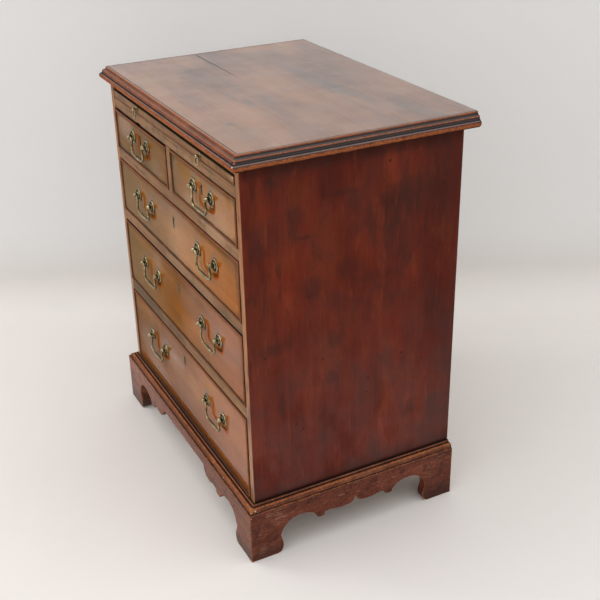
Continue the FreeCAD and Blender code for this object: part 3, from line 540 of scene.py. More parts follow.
def moulded(profile, step, yback, corner=1.2, wob=0.22, seed=1.0, chips=()):
    """A closed profile, (t, z, wear, grime and painted shade) points, run round left, front and right, capped at the
    back.
    """
    ys = unit_stations(yback - F, step, (1,))
    xs = unit_stations(2 * HW, step, (0, 1))
    V, A, B, faces = [], [], [], []
    ns = None
    for j, (t, z, wear, grime_and_shade) in enumerate(profile):
        rho = max(0.0, min(corner, t * 0.3))
        path = moulding_path(t, rho, ys, xs, yback)
        ns = len(path)
        for x, y in path:
            k = 0.0
            if wear > 0.2 and y < yback - 1:
                k = wob * wear * (nz(x, y, z, 0.05, seed) + 0.6 * nz(x, y, z, 0.23, seed + 2) - 0.5)
            on_front = abs(y - (F - t)) < 2 and abs(x) < HW + t - 1
            dx, dy = (0.0, -1.0) if on_front else ((1.0 if x > 0 else -1.0), 0.0)
            c = 0.0
            for (px, py, pr, pd) in chips:
                c = max(c, pd * math.exp(-(math.hypot(x - px, y - py) / pr) ** 2))
            if t < 4:
                c = 0.0
            V.append([x + dx * (k - c), y + dy * (k - c), z])
            A.append(min(1.5, wear + c))
            B.append(grime_and_shade if c < 0.2 else 0.0)
    n = len(profile)
    for j in range(n):
        j2 = (j + 1) % n
        for i in range(ns - 1):
            faces.append((j * ns + i, j * ns + i + 1, j2 * ns + i + 1, j2 * ns + i))
    faces.append(tuple(j * ns for j in range(n)))
    faces.append(tuple(j * ns + ns - 1 for j in range(n)))
    return V, faces, A, B


def base_profile():
    # points are (t, z, wear, grime and painted shade); the quirks and the joint with the case get grime and painted
    # shade
    z = PT
    out = [(0.0, z, 0, 0), (7.0, z, 0, 0), (14.6, z, 0.2, 0.5), (15.0, z + 0.25, 0.5, 0.5), (15.2, z + 0.7, 0.6, 0.2)]
    for k, p in enumerate(arc3((15.2, z + 1.1), (12.8, z + 6.2), (7.0, z + 8.0), 10)):
        out.append((p[0], p[1], max(0.0, 0.90 - abs(k - 6.3) * 0.27), 0.0 if k < 9 else 0.7))
    out += [(6.4, z + 7.5, 0, 1.0), (5.85, z + 7.1, 0, 1.0), (5.65, z + 7.6, 0, 1.0), (5.5, z + 8.6, 0.1, 0.5)]
    for k, p in enumerate(arc3((5.5, z + 8.6), (4.9, z + 9.9), (3.2, BM), 6)[1:]):
        out.append((p[0], p[1], 0.45 if k in (1, 2) else 0.1, 0.0 if k < 4 else 0.6))
    out += [(2.0, BM, 0, 1.0), (0.0, BM, 0, 1.0)]
    return out


# ------------------------------------------------------------------ plinth boards
FRONT_APRON = [("L", [(0, 81.0), (112.0, 81.0)]), ("A", [(112.0, 81.0), (118.0, 66.0), (132.0, 58.2)]),
               ("A", [(132.0, 58.2), (141.0, 57.6), (150.0, 60.0)]), ("A", [(150.0, 60.0), (160.0, 62.2), (172.0, 60.2)]),
               ("L", [(172.0, 60.2), (174.5, 53.6)]), ("A", [(174.5, 53.6), (183.0, 51.4), (192.0, 53.0)]),
               ("L", [(192.0, 53.0), (194.5, 59.0)]),
               ("S", [(194.5, 59.0), (206.0, 67.5), (220.0, 72.2), (236.0, 73.6), (250.0, 70.2), (260.5, 62.5),
                      (267.0, 52.5), (271.5, 39.5)]),
               ("S", [(271.5, 39.5), (268.6, 31.0), (265.2, 23.0), (264.0, 14.5), (265.6, 7.0), (269.5, 2.0)]),
               ("L", [(269.5, 2.0), (275.0, 0.0)])]
SIDE_APRON = [("S", [(0, 73.0), (2.6, 66.5), (7.0, 61.0), (13.5, 58.0), (24.0, 57.0)]),
              ("S", [(24.0, 57.0), (36.0, 57.6), (48.0, 60.0), (59.0, 60.8), (66.0, 59.0)]),
              ("L", [(66.0, 59.0), (67.5, 52.8)]), ("A", [(67.5, 52.8), (74.0, 51.2), (81.0, 52.4)]),
              ("L", [(81.0, 52.4), (83.0, 58.4)]),
              ("S", [(83.0, 58.4), (92.0, 66.5), (105.0, 71.6), (120.0, 72.8), (134.0, 70.0), (145.0, 63.0),
                     (153.0, 53.5), (158.5, 41.0)]),
              ("S", [(158.5, 41.0), (156.8, 33.0), (154.4, 25.0), (153.8, 16.0), (155.6, 8.0), (160.0, 2.2)]),
              ("L", [(160.0, 2.2), (166.0, 0.0)])]


def catmull(pts, n):
    P = [np.array(p, float) for p in pts]
    P = [2 * P[0] - P[1]] + P + [2 * P[-1] - P[-2]]
    out = []
    for i in range(1, len(P) - 2):
        for k in range(n):
            t = k / n
            a, b, c, d = P[i - 1], P[i], P[i + 1], P[i + 2]
            out.append(tuple(0.5 * ((2 * b) + (c - a) * t + (2 * a - 5 * b + 4 * c - d) * t * t + (3 * b - a - 3 * c + d) * t ** 3)))
    out.append(tuple(P[-2]))
    return out


def apron_outline(half, scale, seed):
    pts = []
    for kind, p in half:
        p = [(a * scale, b) for a, b in p]
        if kind == "L":
            d = math.hypot(p[1][0] - p[0][0], p[1][1] - p[0][1])
            n = max(1, int(d / 4))
            seg = [(p[0][0] + (p[1][0] - p[0][0]) * k / n, p[0][1] + (p[1][1] - p[0][1]) * k / n) for k in range(n + 1)]
        elif kind == "A":
            seg = arc3(p[0], p[1], p[2], 7)
        else:
            seg = catmull(p, 4)
        pts += seg if not pts else seg[1:]
    # the saw's small wander
    out = []
    for k, (s, z) in enumerate(pts):
        w = 0.25 * nz(s, z, 0, 0.08, seed) if 3 < z < 80 else 0
        out.append((s, z + w))
    return out


def plinth_board(name, half, scale, half_len, place, mat, seed, mitred=(True, True), rho=1.1, body="carcass"):
    """place(s, q, z): q mm in from the outer face. mitred says which ends, low s and high s, meet another board."""
    right = apron_outline(half, scale, seed)
    left = [(-s, z) for s, z in apron_outline(half, scale, seed + 1)][::-1]
    low = left[:-1] + right if abs(left[-1][0]) < 1e-6 else left + right
    L = half_len
    flat0 = [-L + 20, -L + 34] if low[0][0] > -L + 36 else [-L + 20]
    flat1 = [L - 34, L - 20] if low[-1][0] < L - 36 else [L - 20]
    ring = [(-L, 0.0)] + [(v, 0.0) for v in flat0 if v < low[0][0] - 3] + low + [(v, 0.0) for v in flat1 if v > low[-1][0] + 3] + [(L, 0.0)]
    ring += [(L, z) for z in np.linspace(0, PT, 14)[1:-1]] + [(L, PT)]
    ring += [(v, PT) for v in np.linspace(L - 20, -L + 20, 40)] + [(-L, PT)]
    ring += [(-L, z) for z in np.linspace(PT, 0, 14)[1:-1]]
    n = len(ring)
    P = np.array(ring, float)
    nrm = []
    for k in range(n):
        a_, b_, c_ = P[k - 1], P[k], P[(k + 1) % n]
        e1, e2 = (b_ - a_) / np.linalg.norm(b_ - a_), (c_ - b_) / np.linalg.norm(c_ - b_)
        n1, n2 = np.array((-e1[1], e1[0])), np.array((-e2[1], e2[0]))        # into the board, the outline runs anticlockwise
        m = n1 + n2
        m = m / max(0.2, np.linalg.norm(m))
        nrm.append(m / max(0.72, float(np.dot(m, n1))))
    V, A, B = [], [], []

    def ring_at(off, q, moff, mq, wear, amt=1.0):
        for k in range(n):
            s_, z_ = ring[k]
            end = -1 if abs(s_ + L) < 1e-6 else (1 if abs(s_ - L) < 1e-6 else 0)
            mit = end and mitred[0 if end < 0 else 1]
            # arrises are worn unevenly
            v = 0.80 + 0.55 * nz(s_, z_, 0, 0.06, seed) + 0.25 * nz(s_, z_, 0, 0.3, seed)
            v = min(1.35, max(0.45, v)) if amt else 1.0
            if mit:
                o, d = moff * v, mq * v
                s2 = s_ - end * max(o, d if moff >= mq else 0)
                z2 = z_ + (off * v * nrm[k][1] / max(0.5, abs(nrm[k][1])) if z_ in (0.0, PT) else 0)
                if q > 5:
                    s2, d = s_ - end * q, q
                V.append(place(s2, d, z2))
            else:
                s2, z2 = s_ + off * v * nrm[k][0], z_ + off * v * nrm[k][1]
                d = q * v if q < 5 else q
                for e, mi in ((-1, mitred[0]), (1, mitred[1])):
                    if mi and e * s2 > L - max(d, off * v) - 0.01:
                        s2 = e * (L - max(d, off * v) - 0.01)
                V.append(place(s2, d, z2))
            A.append(wear)
            B.append(0.0)
    r29 = 0.29 * rho
    ring_at(0.0, rho, r29, r29, 0.45)
    ring_at(r29, r29, 0.60 * rho, 0.08 * rho, 1.0)
    ring_at(rho, 0.0, rho, 0.0, 0.75)
    ring_at(rho + 1.6, 0.0, rho + 2.2, 0.0, 0.0)
    ring_at(0.0, PL - 0.6, 0, 0, 0.0, 0)
    ring_at(0.6, PL, 0, 0, 0.0, 0)
    faces = []
    for a_, b_ in ((0, 1), (1, 2), (2, 3), (4, 0), (5, 4)):
        for i in range(n):
            j = (i + 1) % n
            faces.append((a_ * n + i, a_ * n + j, b_ * n + j, b_ * n + i))
    faces += [tuple(range(3 * n, 4 * n)), tuple(range(5 * n, 6 * n))[::-1]]
    return make(name, V, faces, mat, body, (name,) if name in N else (), attrs={"wear": A, "grime_and_shade": B})


# ------------------------------------------------------------------ brass
def lathe(profile, segs, origin, axis="-Y", wob=0.0, seed=0.0):
    """profile: (radius, height, tarnish and painted shade) from the first ring to the last; height runs along the axis.
    """
    V, Fc, D = [], [], []
    ox, oy, oz = origin
    for j, (r, h, d) in enumerate(profile):
        for i in range(segs):
            a = 2 * math.pi * i / segs
            rr = r * (1 + wob * nz(math.cos(a) * 10, math.sin(a) * 10, j, 0.15, seed)) if r > 0.01 else r
            if axis == "-Y":
                V.append((ox + rr * math.cos(a), oy - h, oz + rr * math.sin(a)))
            else:
                V.append((ox + h, oy + rr * math.cos(a), oz + rr * math.sin(a)))
            D.append(d)
    n = len(profile)
    for j in range(n - 1):
        for i in range(segs):
            a, b = j * segs + i, j * segs + (i + 1) % segs
            Fc.append((a, b, b + segs, a + segs))
    if profile[0][0] > 0.01:
        Fc.append(tuple(range(segs))[::-1])
    if profile[-1][0] > 0.01:
        Fc.append(tuple(range((n - 1) * segs, n * segs)))
    return V, Fc, D


def tube(path, radii, segs, flat=1.0, plane=(0, 1, 0)):
    """A round bar along path; radii has one number for each point. plane is the normal of the path's plane."""
    V, Fc = [], []
    P = [np.array(p, float) for p in path]
    nrm = np.array(plane, float)
    for i, p in enumerate(P):
        t = (P[min(i + 1, len(P) - 1)] - P[max(i - 1, 0)])
        t /= np.linalg.norm(t)
        side = np.cross(nrm, t)
        side /= np.linalg.norm(side)
        for k in range(segs):
            a = 2 * math.pi * k / segs
            V.append(tuple(p + radii[i] * (math.cos(a) * side + flat * math.sin(a) * nrm)))
    for i in range(len(P) - 1):
        for k in range(segs):
            a, b = i * segs + k, i * segs + (k + 1) % segs
            Fc.append((a, b, b + segs, a + segs))
    Fc.append(tuple(range(segs))[::-1])
    Fc.append(tuple(range((len(P) - 1) * segs, len(P) * segs)))
    return V, Fc


def joined(parts):
    V, Fc, D = [], [], []
    for v, f, d in parts:
        o = len(V)
        V += list(v)
        Fc += [tuple(i + o for i in q) for q in f]
        D += list(d) if hasattr(d, "__len__") else [d] * len(v)
    return V, Fc, D


ROSE = [(2.05, 0.0, 1), (12.6, 0.0, 1), (13.0, 0.25, 0.4), (13.0, 0.75, 0.0), (12.7, 1.35, 0.0), (12.2, 1.95, 0.0), (11.6, 2.3, 0.0),
        (11.1, 2.25, 0.15), (10.6, 1.9, 0.7), (10.1, 1.5, 1.0), (9.5, 1.15, 1.0), (8.6, 1.05, 1.0), (7.6, 1.15, 1.0), (6.9, 1.45, 1.0),
        (6.3, 1.85, 0.7), (5.7, 2.5, 0.3), (5.1, 2.95, 0.15), (4.4, 3.2, 0.5), (3.9, 3.25, 0.8), (2.05, 3.25, 1.0)]
POST = [(2.0, -23.8, 0.5), (2.0, 3.2, 1.0), (3.15, 3.3, 0.6), (3.2, 3.45, 0.4), (2.95, 3.65, 0.8)]


def ball_profile(r, t0, neck, tip):
    """Ball of radius r centred t0 out from the face, from the neck to a small button."""
    out = []
    a0 = math.asin(min(0.99, neck / r))
    for k in range(15):
        a = a0 + (math.pi - a0 - math.asin(tip / r)) * k / 14
        out.append((r * math.sin(a), t0 - r * math.cos(a), 0.75 if k < 2 else 0.0))
    return out


def post_parts(x, z):
    prof = [p for p in POST] + ball_profile(4.6, BALL_T, 2.65, 1.45)
    prof += [(1.5, BALL_T + 4.5, 0.5), (1.45, BALL_T + 4.9, 0.0), (1.1, BALL_T + 5.12, 0.0), (0.5, BALL_T + 5.2, 0.0), (0.001, BALL_T + 5.2, 0.0)]
    return lathe(prof, 28, (x, F, z), seed=x)


def nut_parts(x, z):
    y0, y1 = F + 19.0, F + 22.0
    c = 1.1
    ring = [(-5, -5 + c), (-5 + c, -5), (5 - c, -5), (5, -5 + c), (5, 5 - c), (5 - c, 5), (-5 + c, 5), (-5, 5 - c)]
    V = [(x + a, y0, z + b) for a, b in ring] + [(x + a, y1 - 0.5, z + b) for a, b in ring] + [(x + a * 0.88, y1, z + b * 0.88) for a, b in ring]
    Fc = [tuple(range(8))[::-1], tuple(range(16, 24))]
    for k in range(8):
        for o in (0, 8):
            Fc.append((o + k, o + (k + 1) % 8, o + 8 + (k + 1) % 8, o + 8 + k))
    return V, Fc, [0.6] * len(V)


def key_outline(r, h, w, n=18):
    """Keyhole outline about the round's centre, (x, z)."""
    a0 = math.asin(0.62)
    pts = []
    for k in range(n + 1):
        a = -math.pi / 2 + a0 + (2 * math.pi - 2 * a0) * k / n
        pts.append((r * math.cos(a), r * math.sin(a)))
    pts += [(-w, -h), (w, -h)]
    return pts


def escutcheon_parts(x, z):
    # inlaid brass thread, flush with the front, rounded a little by polishing
    o_, i_ = key_outline(4.25, 17.95, 3.85), key_outline(3.0, 16.8, 2.6)
    n = len(o_)
    V = []
    for pts, y in ((o_, F + 3.9), (o_, F + 0.02), ([(a * 0.985, b * 0.985) for a, b in o_], F - 0.12),
                   ([(a * 1.04, b * 1.01) for a, b in i_], F - 0.12), (i_, F + 0.05), (i_, F + 3.9)):
        V += [(x + a, y, z + b) for a, b in pts]
    Fc = []
    for j in range(6):
        j2 = (j + 1) % 6
        for k in range(n):
            k2 = (k + 1) % n
            Fc.append((j * n + k, j * n + k2, j2 * n + k2, j2 * n + k))
    return V, Fc, [0.5] * len(V)


def bail_path(cx, z):
    h = SP / 2
    r1, r2 = 5.2, 10.5
    u0 = h - 5.7
    uA = u0 - 0.5
    a0 = math.radians(105)
    A1 = (uA - r1 * math.sin(a0), -r1 + r1 * math.cos(a0))
    B1 = (A1[0] - 13.0 * math.cos(a0), A1[1] - 13.0 * math.sin(a0))
    C = (B1[0] - math.sin(a0) * r2, B1[1] + math.cos(a0) * r2)
    half = [(h + 4.1, 0.0, 0.9), (h + 3.9, 0.0, 1.2), (u0 + 0.2, 0.0, 1.25), (u0, 0.0, 1.7), (u0 - 0.2, 0.0, 2.1), (uA, 0.0, 2.15)]
    for k in range(1, 11):
        a = a0 * k / 10
        half.append((uA - r1 * math.sin(a), -r1 + r1 * math.cos(a), 2.15 - 0.1 * math.sin(math.pi * k / 10)))
    for k in range(1, 5):
        q = k / 5
        half.append((A1[0] + (B1[0] - A1[0]) * q, A1[1] + (B1[1] - A1[1]) * q, 2.12))
    for k in range(0, 13):
        a = math.radians(15 - 105 * k / 12)
        half.append((C[0] + r2 * math.cos(a), C[1] + r2 * math.sin(a), 2.12 + 0.16 * k / 12))
    C1 = (C[0], C[1] - r2)
    for u in (18.5, 16.0, 13.0, 10.0, 7.0, 3.5):
        q = min(1.0, (21.0 - u) / 12.0)
        half.append((u, C1[1] - 0.7 * math.cos(math.pi * u / 42.0) ** 2, 2.30 + 0.75 * q * q * (3 - 2 * q)))
    pts = half + [(0.0, C1[1] - 0.7, 3.05)] + [(-u, v, r) for u, v, r in half[::-1]]
    y = F - BALL_T
    return [(cx + u, y, z + v) for u, v, r in pts], [r for u, v, r in pts]


def brass_mat(name, seed=0.0):
    g = G(name)
    n1 = g.noise(g.mapped((110, 110, 110), (seed, 1, 2)), 1.0, 4.0, 0.6)
    n2 = g.noise(g.mapped((420, 420, 420), (seed, 4, 2)), 1.0, 3.0, 0.6)
    # tarnish in the hollows, and painted shade behind and under the bails, from the per-vertex value: darker, duller
    # and less metallic
    d = g.attr("tarnish_and_shade")
    col = g.ramp(n1, [(0.30, (0.105, 0.080, 0.034)), (0.48, (0.300, 0.245, 0.118)), (0.72, (0.620, 0.545, 0.350))])
    tar = g.rng(n2, 0.46, 0.66)
    col = g.mix(g.m("MULTIPLY", tar, 0.65), col, (0.060, 0.046, 0.022))
    dd = g.rng(g.m("ADD", d, g.m("MULTIPLY", g.m("SUBTRACT", n2, 0.5), 0.45)), 0.22, 0.72)
    col = g.mix(g.m("MULTIPLY", dd, 0.97), col, (0.016, 0.013, 0.009))
    rr = g.m("ADD", g.rng(n2, 0.3, 0.7, 0.09, 0.26), g.m("MULTIPLY", dd, 0.40))
    g.set(color=col, metal=g.m("SUBTRACT", 1.0, g.m("MULTIPLY", dd, 0.95)), rough=rr, spec=0.12,
          normal=g.bump(g.m("ADD", n2, g.m("MULTIPLY", n1, 0.5)), 0.14, 0.0005))
    return g.mat


def iron_mat(name):
    g = G(name)
    n1 = g.noise(g.mapped((120, 120, 120), (2, 1, 2)), 1.0, 5.0, 0.65)
    n2 = g.noise(g.mapped((900, 900, 900), (2, 4, 2)), 1.0, 2.0, 0.6)
    col = g.ramp(n1, [(0.30, (0.10, 0.085, 0.07)), (0.5, (0.23, 0.21, 0.19)), (0.7, (0.36, 0.34, 0.31))])
    col = g.mix(g.rng(n1, 0.56, 0.66), col, (0.17, 0.075, 0.03))
    g.set(color=col, metal=g.rng(n1, 0.5, 0.68, 0.95, 0.3), rough=g.rng(n2, 0.3, 0.7, 0.32, 0.55), normal=g.bump(g.m("ADD", n1, n2), 0.2, 0.0004))
    return g.mat


# ------------------------------------------------------------------ material makers that know the places
# broad patches on each front: centre x, z, half sizes (mm), colour, strength. Most are patina and tone; the olive ones
# are a painted reflection, the dark olive ones painted shade under the rails and painted reflection
OLIVE, DKOLIVE, GOLD, RED = (0.150, 0.080, 0.012), (0.062, 0.046, 0.016), (0.340, 0.140, 0.012), (0.290, 0.066, 0.006)
DARKW, TAN = (0.060, 0.034, 0.014), (0.290, 0.115, 0.014)
PATCHES = {
    "short_left": [(-77, 660, 75, 60, OLIVE, 0.75), (-190, 632, 110, 30, OLIVE, 0.60), (-236, 684, 60, 22, TAN, 0.50), (-150, 620, 160, 10, DKOLIVE, 0.55),
                   (-294, 655, 12, 60, DARKW, 0.55)],
    # the pale blue-grey patch at x 291 is a painted reflection
    "short_right": [(50, 690, 55, 26, DKOLIVE, 0.65), (86, 680, 50, 20, GOLD, 0.50), (148, 667, 26, 20, (0.360, 0.130, 0.015), 0.55), (291, 694, 13, 24, (0.230, 0.185, 0.130), 0.75), (270, 694, 10, 20, DARKW, 0.45), (205, 696, 90, 9, DARKW, 0.45),
                    (262, 630, 40, 18, GOLD, 0.6), (96, 640, 60, 26, TAN, 0.35), (18, 655, 10, 60, DARKW, 0.55)],
    "long_upper": [(-262, 560, 50, 46, DKOLIVE, 0.55), (-240, 530, 60, 40, OLIVE, 0.70), (-110, 515, 90, 40, OLIVE, 0.35), (170, 586, 110, 11, DKOLIVE, 0.70),
                   (255, 574, 45, 18, DKOLIVE, 0.60), (290, 545, 12, 60, DARKW, 0.70), (225, 515, 90, 28, RED, 0.35), (122, 514, 60, 22, TAN, 0.40),
                   (-292, 535, 10, 60, DARKW, 0.50)],
    "long_middle": [(-262, 415, 50, 60, DKOLIVE, 0.45), (-230, 370, 90, 70, OLIVE, 0.75), (-65, 376, 110, 60, (0.200, 0.076, 0.018), 0.75), (-12, 346, 50, 12, DKOLIVE, 0.50),
                    (-90, 440, 90, 14, DKOLIVE, 0.35), (48, 408, 60, 30, (0.190, 0.074, 0.018), 0.60), (205, 408, 90, 50, RED, 0.35), (255, 350, 60, 34, RED, 0.35),
                    (291, 400, 9, 80, DARKW, 0.50), (90, 330, 120, 12, DKOLIVE, 0.35)],
    "long_lower": [(-226, 262, 60, 34, (0.215, 0.095, 0.014), 0.70), (-67, 284, 110, 12, DKOLIVE, 0.55), (-280, 270, 30, 30, OLIVE, 0.60), (-20, 225, 120, 40, (0.235, 0.078, 0.012), 0.50), (-150, 158, 150, 34, (0.240, 0.074, 0.020), 0.50), (20, 160, 120, 40, (0.210, 0.062, 0.018), 0.45),
                   # the dark strips at z 124 to 134 along the bottom are painted shade over the base moulding
                   (47, 215, 34, 24, GOLD, 0.60), (142, 268, 50, 18, GOLD, 0.55), (210, 190, 110, 70, RED, 0.35), (30, 124, 230, 9, (0.055, 0.015, 0.008), 0.80), (0, 127, 340, 9, (0.060, 0.016, 0.009), 0.35), (244, 134, 50, 18, (0.070, 0.020, 0.010), 0.60),
                   (-292, 200, 10, 90, DARKW, 0.45)],
}
# along each front from left to right: place 0..1, base tint over FRONT_PAL (red, green, blue), and how much polish it
# holds; the olive tint towards the left ends is a painted reflection
FRONT_X = {
    "short_left": [(0, (0.53, 0.59, 0.80), 0.36), (0.5, (0.58, 0.62, 0.77), 0.34), (1, (0.59, 0.62, 0.70), 0.32)],
    "short_right": [(0, (0.54, 0.61, 0.80), 0.4), (0.35, (0.74, 0.80, 0.73), 0.54), (0.75, (0.86, 0.89, 0.80), 0.8), (1, (0.82, 0.81, 0.66), 0.72)],
    "long_upper": [(0, (0.54, 0.66, 0.87), 0.4), (0.25, (0.64, 0.73, 0.80), 0.5), (0.52, (0.75, 0.81, 0.77), 0.76), (0.74, (0.84, 0.80, 0.66), 0.46), (1, (0.82, 0.73, 0.62), 0.26)],
    "long_middle": [(0, (0.50, 0.58, 0.87), 0.32), (0.25, (0.54, 0.62, 0.77), 0.3), (0.48, (0.65, 0.61, 0.70), 0.18), (0.72, (0.78, 0.66, 0.62), 0.52), (1, (0.81, 0.61, 0.59), 0.66)],
    "long_lower": [(0, (0.56, 0.56, 0.73), 0.26), (0.25, (0.64, 0.58, 0.70), 0.38), (0.5, (0.68, 0.58, 0.67), 0.54), (0.78, (0.81, 0.64, 0.62), 0.8), (1, (0.84, 0.64, 0.59), 0.86)],
}
# patches of polish, added to the above: centre, half sizes (mm), how much
SHEEN = {
    "short_left": [(-246, 674, 56, 30, 0.46), (-70, 634, 40, 26, 0.20)],
    "short_right": [(96, 630, 50, 18, 0.34), (200, 628, 70, 16, 0.34), (226, 652, 60, 34, 0.16), (60, 690, 40, 20, -0.22), (272, 690, 16, 20, -0.25)],
    "long_upper": [(47, 548, 90, 46, 0.14), (170, 588, 110, 12, -0.30), (-262, 560, 40, 40, -0.14)],
    "long_middle": [(215, 400, 100, 50, 0.22), (-118, 430, 34, 22, 0.24), (-60, 360, 90, 40, -0.10)],
    "long_lower": [(0, 200, 120, 60, 0.16), (230, 200, 110, 90, 0.14), (0, 125, 330, 10, -0.14), (-218, 190, 60, 40, 0.30), (-80, 236, 70, 26, 0.40), (-167, 150, 70, 22, 0.36)],
}


def seg_d(g, u, w, a, b):
    """Distance in metres from the local point (u, w) to the segment from a to b (mm)."""
    ex, ez = b[0] - a[0], b[1] - a[1]
    l2 = ex * ex + ez * ez
    du, dw = g.m("SUBTRACT", u, a[0] * MM), g.m("SUBTRACT", w, a[1] * MM)
    t = g.m("ADD", g.m("MULTIPLY", du, ex / l2 * 1000.0), g.m("MULTIPLY", dw, ez / l2 * 1000.0), clamp=True)
    px, pz = g.m("SUBTRACT", du, g.m("MULTIPLY", t, ex * MM)), g.m("SUBTRACT", dw, g.m("MULTIPLY", t, ez * MM))
    return g.m("SQRT", g.m("ADD", g.m("MULTIPLY", px, px), g.m("MULTIPLY", pz, pz)))


def stroke(g, u, w, pts, half, soft, edge, wild=0.003):
    """A soft stroke along points (mm) with the given half width (mm)."""
    d = None
    for a, b in zip(pts[:-1], pts[1:]):
        v = seg_d(g, u, w, a, b)
        d = v if d is None else g.m("MINIMUM", d, v)
    d = g.m("ADD", d, g.m("MULTIPLY", g.m("SUBTRACT", edge, 0.5), wild))
    return g.rng(d, (half - soft) * MM, (half + soft) * MM, 1.0, 0.0)


# red-orange painted shadow and reflection of each handle in the polish beside it, and dark painted shadow behind each
# rose; points local to the handle's centre (mm), with half widths
HANDLE_SHADOW_MARKS = [([(-21, 8), (-13, 5), (-8, -2), (-10, -12), (-5, -21), (3, -25)], 3.2), ([(34, -25), (43, -24), (51, -15), (53, -4)], 3.4), ([(57, 7), (60, 8)], 4.2)]
DARKS = [([(32, -19), (40, -19), (47, -15)], 3.0), ([(-27, 4), (-26, -8)], 2.0), ([(53, 4), (52, -9)], 2.0)]


